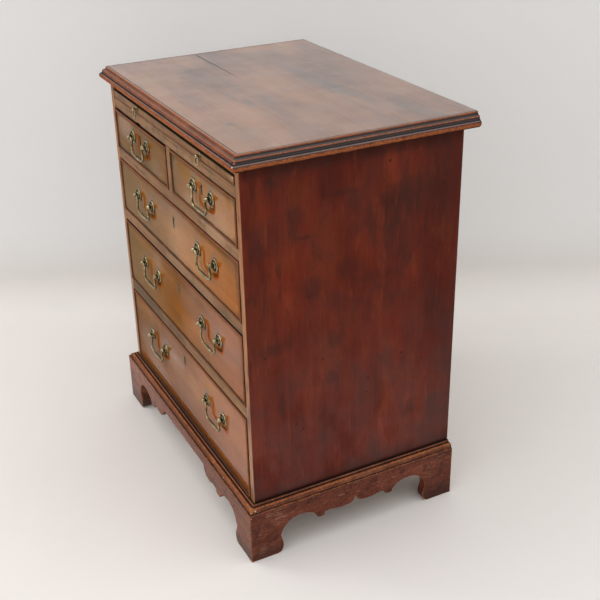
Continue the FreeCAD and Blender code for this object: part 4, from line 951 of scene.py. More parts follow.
def front_mat(name):
    """Drawer front: figured and polished, with old wax and painted shade in the corners and along the beads, painted
    shadows and reflections round the brasses, and dirt round the keyhole.
    """
    x0, x1, z0, z1 = ROWS[name]
    z1 -= GAP_T[name]
    xs, hz = HANDLES[name]
    kx, kz = KEYS[name]
    seed = {"short_left": 1.3, "short_right": 2.9, "long_upper": 4.1, "long_middle": 5.7, "long_lower": 7.9}[name]

    def extra(g, col, rr, h, ctx):
        o = g.xyz()
        n = g.noise(g.mapped((55, 55, 55), (seed, 3, 1)), 1.0, 4.0, 0.65)
        nw = g.noise(g.mapped((9, 9, 14), (seed, 8, 1)), 1.0, 3.0, 0.55)
        ns = g.noise(g.mapped((22, 26, 90), (seed, 5, 1)), 1.0, 3.0, 0.6)
        across = g.rng(g.m("ADD", o[0], g.m("MULTIPLY", g.m("SUBTRACT", nw, 0.5), 0.16)), x0 * MM, x1 * MM, smooth=False)
        col = g.mix(1.0, col, g.ramp(across, [(q, c) for q, c, k in FRONT_X[name]]), "MULTIPLY")
        for (cx, cz, rx, rz, c, k) in PATCHES[name]:
            col = patch(g, col, (cx, 0, cz), (rx, 0, rz), c, k * 0.75, ns, keep=0.30)
        # old wax and painted shade along the beads and in the corners: darker near the edges, with a thin dark line in
        # the quirk by the bead
        dx = smin(g, g.m("SUBTRACT", o[0], (x0 + 5.7) * MM), g.m("SUBTRACT", (x1 - 5.7) * MM, o[0]))
        dz = smin(g, g.m("SUBTRACT", o[2], (z0 + 5.1) * MM), g.m("SUBTRACT", (z1 - 4.5) * MM, o[2]))
        d = g.m("MINIMUM", dx, dz)
        corner = g.m("ADD", g.rng(dx, 0.0, 0.030, 1.0, 0.0), g.rng(dz, 0.0, 0.024, 1.0, 0.0))
        e = g.rng(d, 0.0, 0.0070, 1.0, 0.0)
        amt = g.m("MULTIPLY", e, g.rng(g.m("ADD", n, g.m("MULTIPLY", corner, 0.14)), 0.40, 0.70))
        wide = g.m("MULTIPLY", g.rng(g.m("MULTIPLY", corner, g.m("ADD", nw, 0.35)), 0.85, 1.6), 0.55)
        amt = g.m("MAXIMUM", amt, wide)
        line = g.rng(d, 0.0002, 0.0014, 1.0, 0.0)
        amt = g.m("MAXIMUM", amt, g.m("MULTIPLY", line, 0.9))
        col = g.mix(g.m("MULTIPLY", amt, 0.78), col, (0.048, 0.034, 0.020))
        # painted reflection of each post in the polish: a grey-blue mark above and beside it
        hits = None
        for hx in xs:
            for s in (-1, 1):
                px = hx + s * SP / 2
                q = g.vm("MULTIPLY", g.vm("SUBTRACT", g.obj, (px * MM, 0, (hz + 7) * MM)), (1.25, 0.0, 0.72))
                v = g.rng(g.m("ADD", g.vm("LENGTH", q), g.m("MULTIPLY", g.m("SUBTRACT", n, 0.5), 0.006)), 0.0080, 0.0160, 1.0, 0.0)
                hits = v if hits is None else g.m("MAXIMUM", hits, v)
        up = g.rng(o[2], (hz - 2) * MM, (hz + 10) * MM)
        gg = g.m("MULTIPLY", hits, up)
        col = g.mix(g.m("MULTIPLY", gg, 0.50), col, (0.090, 0.092, 0.080))
        # red-orange painted shadow and reflection of the brass beside each handle
        hc = g.m("SUBTRACT", g.m("MULTIPLY", g.m("GREATER_THAN", o[0], 0.0), 0.312), 0.156) if len(xs) > 1 else xs[0] * MM
        u_, w_ = g.m("SUBTRACT", o[0], hc), g.m("SUBTRACT", o[2], hz * MM)
        red = None
        for pts, half in HANDLE_SHADOW_MARKS:
            v = stroke(g, u_, w_, pts, half, 1.6, n)
            red = v if red is None else g.m("MAXIMUM", red, v)
        col = g.mix(g.m("MULTIPLY", red, 0.72), col, (0.295, 0.050, 0.007))
        # dark painted shadow behind each rose
        dark = None
        for pts, half in DARKS:
            v = stroke(g, u_, w_, pts, half, 1.6, n)
            dark = v if dark is None else g.m("MAXIMUM", dark, v)
        col = g.mix(g.m("MULTIPLY", dark, 0.82), col, (0.030, 0.012, 0.006))
        # round the keyhole
        q = g.vm("MULTIPLY", g.vm("SUBTRACT", g.obj, (kx * MM, 0, (kz - 6) * MM)), (1.0, 0.0, 0.45))
        kk = g.m("MULTIPLY", g.rng(g.vm("LENGTH", q), 0.005, 0.009, 1.0, 0.0), 0.45)
        col = g.mix(kk, col, (0.060, 0.045, 0.026))
        # fine scratches, pale, following the duster
        sc = g.noise(g.mapped((60, 60, 1500), (seed, 1, 1), (0, math.radians(24), 0)), 1.0, 1.0, 0.5)
        col = g.mix(g.m("MULTIPLY", g.m("MULTIPLY", g.rng(sc, 0.68, 0.74), g.rng(nw, 0.45, 0.6)), 0.18), col, (0.45, 0.24, 0.12))
        rr = g.m("ADD", rr, g.m("MULTIPLY", amt, 0.25))
        mask = g.ramp(across, [(q, (k, k, k)) for q, c, k in FRONT_X[name]])
        mask = g.m("ADD", mask, g.m("MULTIPLY", g.m("SUBTRACT", nw, 0.5), 0.30))
        for (cx, cz, rx, rz, k) in SHEEN[name]:
            q = g.vm("MULTIPLY", g.vm("SUBTRACT", g.obj, (cx * MM, 0, cz * MM)), (1000.0 / rx, 0.0, 1000.0 / rz))
            r = g.m("ADD", g.vm("LENGTH", q), g.m("MULTIPLY", g.m("SUBTRACT", nw, 0.5), 1.2))
            mask = g.m("ADD", mask, g.rng(r, 0.3, 1.3, k, 0.0))
        mask = g.m("MAXIMUM", g.m("MINIMUM", mask, 1.0), 0.04)
        mask = g.m("MULTIPLY", mask, g.m("SUBTRACT", 1.0, g.m("MULTIPLY", g.m("MAXIMUM", red, dark), 0.6)))
        mask = g.m("MULTIPLY", mask, g.m("SUBTRACT", 1.0, g.m("MULTIPLY", amt, 0.7)))
        return col, rr, h, mask
    return wood("front_" + name, "X", FRONT_PAL, seed, rough=(0.36, 0.50), coat_rough=0.065, coat_ior=1.5, spec=0.0,
                figure=1.8, streak=0.7, cloud=1.8, pores=0.25, extra=extra, bump=0.06)


def rail_mat(name, along, seed, lines=(), stains=(), spots=(), polish=0.25):
    """lines: (z, half width, colour, strength) of long marks on the front edge; stains: (x, z, half sizes, colour, strength)."""
    def extra(g, col, rr, h, ctx):
        o = g.xyz()
        n = g.noise(g.mapped((45, 45, 45), (seed, 3, 1)), 1.0, 4.0, 0.65)
        nl = g.noise(g.mapped((9, 9, 160), (seed, 5, 1)), 1.0, 3.0, 0.6)
        col = g.mix(g.m("MULTIPLY", g.rng(n, 0.50, 0.68), 0.45), col, (0.075, 0.060, 0.038))
        col = g.mix(g.m("MULTIPLY", g.rng(nl, 0.54, 0.66), 0.55), col, (0.052, 0.040, 0.026))
        mask = polish
        for (x, z, rx, rz, c, k) in stains:
            col = patch(g, col, (x, 0, z), (rx, 0, rz), c, k, n, keep=0.15, wild=1.2, soft=(0.6, 1.2))
        col, rr = chips(g, col, rr, spots) if spots else (col, rr)
        for (z, w, c, k) in lines:
            d = g.m("ABSOLUTE", g.m("SUBTRACT", o[2], z * MM))
            v = g.m("MULTIPLY", g.rng(g.m("ADD", d, g.m("MULTIPLY", g.m("SUBTRACT", n, 0.5), w * 0.9 * MM)), w * 0.5 * MM, w * MM, 1.0, 0.0), k)
            col = g.mix(v, col, c)
        # inside the case the wood is bare (no polish), rougher and darker
        inside = g.rng(o[1], (F + 0.8) * MM, (F + 4) * MM)
        col = g.mix(g.m("MULTIPLY", inside, 0.85), col, (0.050, 0.028, 0.015))
        rr = g.m("MAXIMUM", rr, g.m("MULTIPLY", inside, 0.75))
        mask = g.m("MULTIPLY", g.m("SUBTRACT", 1.0, inside), mask)
        return col, rr, h, mask
    return wood(name, along, RAIL_PAL, seed, rough=(0.36, 0.52), coat_rough=0.18, coat_ior=1.5, spec=0.0, figure=0.6, streak=1.0, extra=extra, blot=0.2)


def bead_mat(name):
    x0, x1, z0, z1 = ROWS[name]
    z1 -= GAP_T[name]
    low = name == "long_lower"

    def extra(g, col, rr, h, ctx):
        o = g.xyz()
        # rubbed bright on the nose; the dark where it goes into the front is painted shade in the quirk
        y = g.rng(o[1], (F - 2.1) * MM, (F + 0.4) * MM)
        n = g.noise(g.mapped((90, 90, 90), (x0, 3, 1)), 1.0, 3.0, 0.6)
        n2 = g.noise(g.mapped((11, 11, 11), (x0, 7, 1)), 1.0, 3.0, 0.6)
        # the top and right-hand beads are painted brightest: wear, and a painted highlight where they catch the light
        hot = g.m("MAXIMUM", g.rng(o[2], (z1 - 4.6) * MM, (z1 - 3.4) * MM), g.rng(o[0], (x1 - 6.5) * MM, (x1 - 5.0) * MM))
        col = g.mix(g.m("MULTIPLY", g.m("MULTIPLY", g.rng(y, 0.0, 0.55, 1.0, 0.0), g.rng(g.m("ADD", n, g.m("MULTIPLY", hot, 0.12)), 0.42, 0.62)),
                        g.m("ADD", 0.35, g.m("MULTIPLY", hot, 0.45))), col, (0.235, 0.060, 0.015))
        col = g.mix(g.m("MULTIPLY", g.m("MULTIPLY", g.rng(n2, 0.48, 0.62), g.m("SUBTRACT", 1.0, hot)), 0.70), col, (0.045, 0.026, 0.015))
        # the upper face of the top bead, seen through the gap over the front: painted shade in the gap
        over = g.rng(o[2], (z1 - 1.0) * MM, (z1 - 0.35) * MM)
        if name in ("short_left", "long_middle"):
            deep = g.rng(o[1], (F - 1.5) * MM, (F - 0.7) * MM)
        else:
            deep = g.rng(o[1], (F + 0.1) * MM, (F + 0.6) * MM)
            col = g.mix(g.m("MULTIPLY", over, 0.8), col, (0.225, 0.098, 0.030) if name == "short_right" else (0.150, 0.042, 0.014))
        dk_ = g.m("ADD", g.m("MULTIPLY", g.rng(y, 0.40, 0.85), g.m("SUBTRACT", 1.0, over)), g.m("MULTIPLY", deep, over))
        col = g.mix(g.m("MULTIPLY", dk_, 0.94), col, (0.014, 0.008, 0.006))
        # painted shade along the bottom bead of the lowest drawer, over the base moulding
        if low:
            dk = g.m("MULTIPLY", g.rng(o[2], (z0 + 6) * MM, (z0 + 4) * MM), g.rng(g.m("ABSOLUTE", o[0]), 0.20, 0.29, 1.0, 0.35))
            col = g.mix(g.m("MULTIPLY", dk, 0.9), col, (0.022, 0.009, 0.006))
        return col, rr, h
    dx = ROWS[name][0] + 3
    return wood("bead_" + name, "X", [(0.055, 0.018, 0.008), (0.105, 0.034, 0.012), (0.165, 0.055, 0.018), (0.25, 0.085, 0.028)],
                dx * 0.01 + 2, rough=(0.34, 0.48), coat=0.30, coat_rough=0.16, spec=0.0, figure=0.3, extra=extra)


# dark and light patches on the sides: y, z, half sizes (mm), strength; the three long dark ones at z 741 to 742 are
# painted shade under the overhanging top
SIDE_DARK = [(78, 634, 34, 60, 0.62), (34, 611, 22, 48, 0.45), (103, 652, 40, 30, 0.55), (-15, 543, 26, 22, 0.45), (-87, 523, 30, 18, 0.50), (-158, 630, 34, 34, 0.40),
             (-164, 724, 9, 9, 0.75), (112, 221, 20, 22, 0.55), (-49, 416, 24, 18, 0.40), (-166, 424, 34, 12, 0.45), (-100, 617, 14, 5, 0.60), (182, 613, 16, 60, 0.35),
             (149, 741, 60, 16, 0.60), (-29, 682, 30, 6, 0.55), (20, 742, 80, 12, 0.50), (-120, 742, 70, 10, 0.50), (-150, 158, 12, 12, 0.35), (35, 517, 60, 10, 0.30),
             (160, 200, 40, 60, 0.25), (-60, 250, 26, 50, 0.25), (24, 680, 30, 60, 0.42), (98, 580, 44, 60, 0.34), (-75, 400, 24, 90, 0.34), (60, 310, 26, 80, 0.38),
             (120, 350, 24, 80, 0.40), (70, 138, 130, 20, 0.30), (150, 660, 50, 50, 0.25)]
SIDE_LIGHT = [(-63, 590, 36, 70, 0.60), (-112, 690, 26, 40, 0.50), (-140, 576, 26, 22, 0.45), (-184, 678, 14, 60, 0.40), (-52, 372, 26, 26, 0.45), (183, 580, 14, 50, 0.30),
              (-19, 331, 16, 60, 0.20), (-186, 470, 26, 110, 0.42), (-180, 360, 26, 60, 0.30), (-8, 450, 18, 60, 0.30)]


def side_mat(name, sgn):
    def extra(g, col, rr, h, ctx):
        o = g.xyz()
        ns = g.noise(g.mapped((60, 60, 16), (4.0 * sgn, 3, 1)), 1.0, 4.0, 0.62)
        n2 = g.noise(g.mapped((46, 52, 9), (4.0 * sgn, 8, 1)), 1.0, 4.0, 0.62)
        nb = g.noise(g.mapped((5, 6, 3.5), (2.0 * sgn, 8, 1)), 1.0, 3.0, 0.6)
        nf = g.noise(g.mapped((240, 240, 60), (2.0 * sgn, 8, 6)), 1.0, 3.0, 0.6)
        for (y, z, ry, rz, k) in SIDE_LIGHT:
            y = y if sgn > 0 else -y - 8
            col = patch(g, col, (0, y, z), (0, ry, rz), (0.180, 0.034, 0.011), k, ns, keep=0.35, wild=1.8)
        for (y, z, ry, rz, k) in SIDE_DARK:
            y = y if sgn > 0 else -y - 8
            col = patch(g, col, (0, y, z), (0, ry, rz), (0.030, 0.012, 0.009), k, ns, keep=0.15, wild=2.2, soft=(0.2, 1.5))
        # orange streaks where the polish has worn thin, dark strips between
        col = g.mix(g.m("MULTIPLY", g.rng(n2, 0.56, 0.74), 0.44), col, (0.225, 0.044, 0.013))
        col = g.mix(g.m("MULTIPLY", g.m("MULTIPLY", g.rng(n2, 0.48, 0.34), g.rng(nb, 0.40, 0.58)), 0.55), col, (0.036, 0.012, 0.009))
        nm = g.noise(g.mapped((17, 17, 11), (7.0 * sgn, 2, 1)), 1.0, 4.0, 0.62)
        col = g.mix(g.m("MULTIPLY", g.rng(nm, 0.52, 0.66), 0.42), col, (0.040, 0.014, 0.010))
        # darker towards the back
        col = g.mix(g.rng(g.m("ADD", o[1], g.m("MULTIPLY", g.m("SUBTRACT", nm, 0.5), 0.10)), 0.090, 0.200, 0.0, 0.34), col, (0.046, 0.010, 0.007))
        # painted shade under the overhanging top, with less polish there
        top = g.rng(g.m("ADD", o[2], g.m("MULTIPLY", g.m("SUBTRACT", ns, 0.5), 0.050)), 0.724, 0.756)
        col = g.mix(g.m("MULTIPLY", top, 0.52), col, (0.030, 0.010, 0.008))
        # darker band above the base moulding: grime and painted shade in the corner
        low = g.rng(g.m("ADD", o[2], g.m("MULTIPLY", g.m("SUBTRACT", ns, 0.5), 0.012)), 0.150, 0.118)
        col = g.mix(g.m("MULTIPLY", low, 0.55), col, (0.034, 0.012, 0.010))
        line = g.rng(o[2], 0.1215, 0.1185)
        col = g.mix(g.m("MULTIPLY", line, 0.85), col, (0.016, 0.008, 0.006))
        # specks and small knocks
        v = g.voro(g.mapped((34, 34, 26), (1.2, 3.1, 0.4 * sgn)), 1.0)
        vv = g.noise(g.mapped((11, 11, 11), (1, 1, sgn)), 1.0, 2.0)
        sp = g.m("MULTIPLY", g.rng(v, 0.05, 0.10, 1.0, 0.0), g.rng(vv, 0.44, 0.56))
        col = g.mix(g.m("MULTIPLY", sp, 0.80), col, (0.014, 0.008, 0.008))
        sp2 = g.m("MULTIPLY", g.rng(nf, 0.64, 0.72), g.rng(vv, 0.50, 0.40))
        col = g.mix(g.m("MULTIPLY", sp2, 0.35), col, (0.030, 0.010, 0.008))
        # the front edge shows as a paler strip
        fr = g.rng(o[1], (F + 0.3) * MM, (F + 0.9) * MM, 1.0, 0.0)
        ne = g.noise(g.mapped((60, 60, 22), (4.0, 6, 1)), 1.0, 4.0, 0.6)
        col = g.mix(fr, col, g.ramp(ne, [(0.30, (0.145, 0.058, 0.024)), (0.45, (0.285, 0.120, 0.048)), (0.7, (0.370, 0.165, 0.074))]))
        inner = g.rng(g.m("MULTIPLY", o[0], sgn), (IN_W + 2) * MM, (IN_W + 0.5) * MM)
        col = g.mix(g.m("MULTIPLY", inner, g.m("SUBTRACT", 1.0, fr)), col, g.ramp(n2, [(0.3, (0.20, 0.11, 0.055)), (0.7, (0.33, 0.20, 0.10))]))
        rr = g.m("MAXIMUM", rr, g.m("MULTIPLY", inner, 0.8))
        mask = g.m("ADD", 0.10, g.m("MULTIPLY", fr, g.rng(o[2], 0.46, 0.16, 0.18, 0.62)))
        mask = g.m("ADD", mask, g.m("MULTIPLY", g.rng(nm, 0.30, 0.60, 0.35, 1.0), g.rng(o[2], 0.56, 0.14, 0.08, 0.46)))
        mask = g.m("MULTIPLY", mask, g.m("SUBTRACT", 1.0, g.m("MULTIPLY", top, 0.6)))
        return col, rr, h, mask
    return wood(name, "Z", SIDE_PAL, 3.3 * sgn, rough=(0.42, 0.58), coat_rough=0.28, spec=0.0, figure=0.9, streak=0.65,
                cloud=1.5, pores=0.40, extra=extra, broad=(9.0, 4.2), bands=(30.0, 4.0), spread=0.15)


def top_mat(name, coat_ior, spec):
    def extra(g, col, rr, h, ctx):
        o = g.xyz()
        n2 = g.noise(g.mapped((26, 30, 30), (4.0, 3, 1)), 1.0, 4.0, 0.62)
        ns = g.noise(g.mapped((8, 30, 30), (4.0, 7, 1)), 1.0, 4.0, 0.62)
        wob = g.noise(g.mapped((26, 3, 3), (4.0, 7, 9)), 1.0, 3.0, 0.6)
        for (x, y, rx, ry, k) in ((-300, 120, 40, 90, 0.50), (-120, -196, 180, 20, 0.30), (-269, -77, 50, 50, 0.35), (300, -190, 40, 40, 0.20), (-190, -150, 110, 44, 0.40), (260, -205, 60, 30, 0.25), (150, -115, 90, 40, 0.25), (99, 18, 60, 16, 0.40), (-244, 150, 60, 26, 0.45),
                                  (208, 116, 40, 12, 0.30), (60, -200, 200, 26, 0.35), (-40, -30, 120, 30, 0.30)):
            col = patch(g, col, (x, y, 0), (rx, ry, 0), (0.380, 0.165, 0.066), min(1.0, k * 1.3), ns, keep=0.3, wild=2.0)
        for (x, y, rx, ry, k) in ((0, 94, 110, 22, 0.50), (76, 96, 80, 20, 0.55), (150, 112, 90, 18, 0.50), (230, 150, 90, 20, 0.35), (-60, 92, 50, 14, 0.35), (72, -81, 26, 9, 0.60),
                                  (15, -92, 30, 6, 0.50), (125, -49, 70, 16, 0.40), (171, -163, 10, 8, 0.55), (60, -40, 40, 12, 0.35), (-76, 166, 60, 16, 0.30),
                                  (305, 172, 16, 14, 0.45), (-60, -60, 60, 14, 0.25), (287, 77, 50, 40, 0.25), (290, -60, 60, 40, 0.22), (240, -170, 90, 40, 0.22)):
            col = patch(g, col, (x, y, 0), (rx, ry, 0), (0.060, 0.050, 0.048), min(1.0, k * 1.25), ns, keep=0.25, wild=1.8, soft=(0.2, 1.5))
        # drying cracks and old scratches along the grain
        dk = (0.012, 0.008, 0.007)
        col = streak_x(g, col, -334, -150, -25.7, 1.5, 0.95, dk, wob)
        col = streak_l(g, col, -322, -25.2, -176, -33.0, 3.0, 0.97, dk, wob)
        col = streak_l(g, col, -216, -25.6, -86, -28.2, 1.5, 0.9, dk, wob)
        col = streak_l(g, col, -316, -40.0, -250, -42.5, 1.0, 0.6, dk, wob)
        col = streak_x(g, col, -8, 46, -184.0, 0.9, 0.65, dk, wob)
        col = streak_x(g, col, 8, 92, -88.0, 0.8, 0.45, dk, wob)
        col = streak_x(g, col, 70, 150, -205.0, 0.8, 0.45, dk, wob)
        col = streak_x(g, col, -120, -40, 165.0, 1.0, 0.45, (0.10, 0.045, 0.03), wob)
        # the moulded edge has kept more of its red and less polish
        edge = g.m("SUBTRACT", 1.0, g.rng(o[2], 0.7770, 0.7796))
        side_ = g.rng(g.m("ABSOLUTE", o[0]), (HW + 1) * MM, (HW + 4) * MM)
        em = g.ramp(n2, [(0.30, (0.080, 0.022, 0.010)), (0.50, (0.150, 0.040, 0.016)), (0.72, (0.240, 0.070, 0.026))])
        em = g.mix(g.m("MULTIPLY", side_, 0.62), em, (0.030, 0.010, 0.008))
        col = g.mix(g.m("MULTIPLY", edge, 0.90), col, em)
        # painted shade in the two coves, broken by noise and much stronger on the side
        cv = g.m("ADD", g.m("MULTIPLY", g.rng(o[2], 0.7664, 0.7670), g.rng(o[2], 0.7712, 0.7704)), g.m("MULTIPLY", g.rng(o[2], 0.7731, 0.7736), g.rng(o[2], 0.7774, 0.7766)))
        cv = g.m("MULTIPLY", g.m("MULTIPLY", cv, g.rng(n2, 0.28, 0.48, 0.7, 1.0)), g.m("ADD", 0.16, g.m("MULTIPLY", side_, 0.70)))
        col = g.mix(cv, col, (0.018, 0.011, 0.010))
        # the roll along the side: knocked full of dark specks, and dark red again towards the back
        rl = g.m("MULTIPLY", side_, g.rng(o[2], 0.7660, 0.7652))
        col = g.mix(g.m("MULTIPLY", g.m("MULTIPLY", rl, g.rng(g.m("ADD", o[1], g.m("MULTIPLY", g.m("SUBTRACT", n2, 0.5), 0.10)), 0.010, 0.120)), 0.62), col, (0.085, 0.018, 0.010))
        pk = g.rng(g.voro(g.mapped((150, 150, 210), (3.0, 1.7, 2)), 1.0), 0.16, 0.30, 1.0, 0.0)
        col = g.mix(g.m("MULTIPLY", g.m("MULTIPLY", g.m("MULTIPLY", rl, pk), g.rng(n2, 0.44, 0.56)), 0.85), col, (0.016, 0.008, 0.007))
        # painted shade under the roll at the foot of the moulding
        under = g.rng(o[2], 0.7572, 0.7548)
        col = g.mix(g.m("MULTIPLY", under, 0.75), col, (0.030, 0.010, 0.007))
        col, rr = chips(g, col, rr, ((250, F - 13.5, 774.5, 1.2), (HW + 13.0, F - 15.5, 764, 1.6), (HW + 10.5, F - 9.0, 772, 0.9), (HW + 9.5, -30, 773.5, 0.9),
                                     (HW + 9.0, -120, 774.5, 0.8), (160, F - 9, 777.5, 0.8)))
        # a line of old wax just inside the arris, on the flat
        tt = g.m("MAXIMUM", g.m("SUBTRACT", F * MM, o[1]), g.m("SUBTRACT", g.m("ABSOLUTE", o[0]), HW * MM))
        nl = g.noise(g.mapped((120, 120, 120), (4.0, 1, 3)), 1.0, 3.0, 0.6)
        nk = g.noise(g.mapped((16, 16, 16), (2.0, 1, 3)), 1.0, 3.0, 0.6)
        wax = g.rng(g.m("ABSOLUTE", g.m("SUBTRACT", g.m("ADD", tt, g.m("MULTIPLY", g.m("SUBTRACT", nl, 0.5), 0.0012)), 0.0017)), 0.0005, 0.0011, 1.0, 0.0)
        wax = g.m("MULTIPLY", g.m("MULTIPLY", wax, g.rng(o[2], 0.7790, 0.7794)), g.rng(nk, 0.34, 0.50, 0.25, 0.95))
        col = g.mix(wax, col, (0.012, 0.007, 0.006))
        shine = g.ramp(g.rng(o[2], TZ * MM, H * MM, smooth=False), [(0.0, (0.04,) * 3), (0.32, (0.06,) * 3), (0.38, (0.20,) * 3), (0.44, (0.85,) * 3), (0.50, (0.26,) * 3),
                        (0.64, (0.16,) * 3), (0.73, (0.80,) * 3), (0.80, (0.14,) * 3), (0.93, (0.16,) * 3), (0.97, (0.55,) * 3), (0.99, (0.95,) * 3)])
        mask = g.m("MULTIPLY", shine, g.m("SUBTRACT", 1.0, g.m("MULTIPLY", wax, 0.85)))
        return col, rr, h, mask
    return wood(name, "X", TOP_PAL, 2.2, rough=(0.30, 0.42), coat_rough=0.17, coat_ior=coat_ior, spec=spec, figure=0.8, streak=0.7,
                cloud=1.6, pores=0.3, blot=0.25, blot_col=(0.06, 0.03, 0.025), wear=((0.350, 0.108, 0.040), 0.85), grime_and_shade=((0.010, 0.007, 0.006), 0.97), dull=0.75, worn_dull=0.85, extra=extra)


# ------------------------------------------------------------------ materials
M = {}
M["top"] = top_mat("top_wood", 1.6, 0.30)
M["top_edge"] = top_mat("top_edge_wood", 2.1, 0.0)      # the moulded edge has lost its gloss
def base_extra(g, col, rr, h, ctx):
    col, rr = chips(g, col, rr, ((HW + 14.5, F - 13.5, 108.5, 2.4), (HW + 14.0, F - 5.0, 110.5, 1.7), (HW + 6.5, F - 7.0, 114.5, 1.7), (HW + 15, F - 1.0, 107.0, 1.0),
                                 (205, F - 14.5, 108.0, 1.5), (HW + 14.6, 8.0, 108.5, 0.9)))
    return col, rr, h


def plinth_extra(g, col, rr, h, ctx):
    o = g.xyz()
    n = g.noise(g.mapped((30, 30, 30), (4.0, 3, 1)), 1.0, 4.0, 0.62)
    nf = g.noise(g.mapped((160, 160, 160), (4.0, 3, 1)), 1.0, 4.0, 0.65)
    # mottled, knocked and darker towards the floor
    col = g.mix(g.m("MULTIPLY", g.rng(nf, 0.52, 0.68), 0.60), col, (0.028, 0.012, 0.009))
    nb = g.noise(g.mapped((52, 52, 52), (1.0, 9, 1)), 1.0, 4.0, 0.62)
    col = g.mix(g.m("MULTIPLY", g.rng(nb, 0.50, 0.66), 0.60), col, (0.034, 0.013, 0.010))
    col = g.mix(g.m("MULTIPLY", g.m("MULTIPLY", g.rng(nf, 0.46, 0.34), g.rng(n, 0.42, 0.60)), 0.40), col, (0.240, 0.072, 0.026))
    low = g.m("ADD", g.rng(o[2], 0.060, 0.0), g.m("MULTIPLY", g.m("SUBTRACT", n, 0.5), 1.1))
    col = g.mix(g.m("MULTIPLY", g.rng(low, 0.30, 0.90), 0.66), col, (0.036, 0.016, 0.012))
    # the line of wax and dust under the base moulding, with painted shade under its overhang
    jt = g.rng(g.m("ADD", o[2], g.m("MULTIPLY", g.m("SUBTRACT", nf, 0.5), 0.004)), 0.1025, 0.1058)
    col = g.mix(g.m("MULTIPLY", jt, 0.85), col, (0.022, 0.018, 0.016))
    # scuffs
    sc = g.noise(g.mapped((170, 60, 420), (1.0, 3, 1), (math.radians(28), 0, 0)), 1.0, 3.0, 0.6)
    m2 = g.m("MULTIPLY", g.rng(sc, 0.60, 0.67), g.rng(n, 0.46, 0.60))
    for (x, y, z, r, k) in ((333, -171, 84, 26, 0.6), (333, -206, 18, 14, 0.55), (333, -190, 96, 16, 0.45), (333, 150, 60, 30, 0.25)):
        q = g.vm("LENGTH", g.vm("SUBTRACT", g.obj, (x * MM, y * MM, z * MM)))
        m2 = g.m("MAXIMUM", m2, g.m("MULTIPLY", g.m("MULTIPLY", g.rng(q, r * 0.3 * MM, r * MM, 1.0, 0.0), g.rng(sc, 0.50, 0.58)), k / 0.55))
    col = g.mix(g.m("MULTIPLY", m2, 0.55), col, (0.300, 0.160, 0.100))
    col, rr = chips(g, col, rr, ((333, -231, 92, 1.6), (333, -231, 58, 1.3), (333, -231, 71, 1.0), (333, -229, 100, 2.0), (333, -231, 3, 2.2)), (0.42, 0.26, 0.18))
    rr = g.m("ADD", rr, g.m("MULTIPLY", nf, 0.06))
    # the front board is polished and duller red than the ends
    return col, rr, h


M["base"] = wood("base_moulding_wood", "X", [tuple(c * k for c in q) for q, k in zip(PLINTH_PAL, (0.55, 0.60, 0.65, 0.75))], 5.1, rough=(0.36, 0.52), coat=0.30, coat_rough=0.20, spec=0.0, wear=((0.350, 0.115, 0.036), 0.86), grime_and_shade=((0.014, 0.011, 0.010), 0.95), dull=0.5,
                 worn_dull=0.5, blot=0.3, extra=base_extra)
M["plinth"] = wood("plinth_wood", "X", PLINTH_PAL, 6.4, rough=(0.36, 0.54), coat=0.55, coat_rough=0.20, spec=0.0, extra=plinth_extra, blot=0.4,
                   wear=((0.30, 0.095, 0.032), 0.8), worn_dull=0.5, figure=0.5)
M["plinth_side"] = wood("plinth_side_wood", "Y", [(0.060, 0.015, 0.010), (0.108, 0.027, 0.015), (0.156, 0.042, 0.023), (0.220, 0.066, 0.036)], 8.4, rough=(0.36, 0.54), coat=0.26, coat_rough=0.24, spec=0.0, extra=plinth_extra, blot=0.4,
                        wear=((0.30, 0.095, 0.032), 0.8), worn_dull=0.5, figure=0.5)
# the pale stain at x 195 on the rail under the short drawers is a painted highlight
M["rail"] = rail_mat("rail_wood", "X", 3.0, (), ((-262, 499, 50, 8, (0.060, 0.044, 0.020), 0.8), (120, 499, 60, 6, (0.070, 0.048, 0.022), 0.5), (-60, 352, 70, 8, (0.060, 0.042, 0.020), 0.4), (-210, 302, 130, 16, (0.048, 0.038, 0.018), 0.80), (-45, 302, 60, 16, (0.060, 0.040, 0.020), 0.60),
              (195, 606, 50, 14, (0.420, 0.250, 0.140), 0.60), (10, 468, 70, 14, (0.330, 0.190, 0.100), 0.45), (130, 468, 60, 14, (0.330, 0.190, 0.100), 0.40)))
# the two dark lines are painted shade in the gaps over the short drawers and under the slide
M["slide_rail"] = rail_mat("slide_rail_wood", "X", 8.0, ((702.0, 1.6, (0.030, 0.018, 0.012), 0.7), (721.8, 1.0, (0.020, 0.012, 0.008), 0.9)))
M["divider"] = rail_mat("divider_wood", "Z", 5.0)
# the dark line at z 736.2 is painted shade in the slot over the slide, and the dark stains at its two ends painted
# shade in the end gaps
M["slide"] = rail_mat("slide_wood", "X", 11.0, ((724.4, 1.3, (0.260, 0.062, 0.014), 0.85), (736.2, 0.9, (0.020, 0.012, 0.008), 0.8)),
                      ((304, 730, 11, 30, (0.032, 0.013, 0.008), 1.0), (-296, 730, 5, 20, (0.06, 0.03, 0.016), 0.6)), ((290.3, F, 733.8, 1.9),), polish=0.28)
M["brass"] = brass_mat("aged_brass")
M["iron"] = iron_mat("lock_iron_aged")
M["pine"] = wood("pine_bare", "X", PINE_PAL, 12.0, rough=(0.62, 0.8), spec=0.3, figure=0.2, blot=0.4, blot_col=(0.10, 0.06, 0.035))
M["oak"] = wood("drawer_oak_bare", "Y", OAK_PAL, 14.0, rough=(0.55, 0.75), spec=0.35, figure=0.4, pores=0.9, blot=0.3, blot_col=(0.09, 0.055, 0.03))
M["back"] = wood("back_pine_dusty", "Z", BACK_PAL, 15.0, rough=(0.7, 0.88), spec=0.25, figure=0.2, blot=0.6, blot_col=(0.06, 0.04, 0.026))


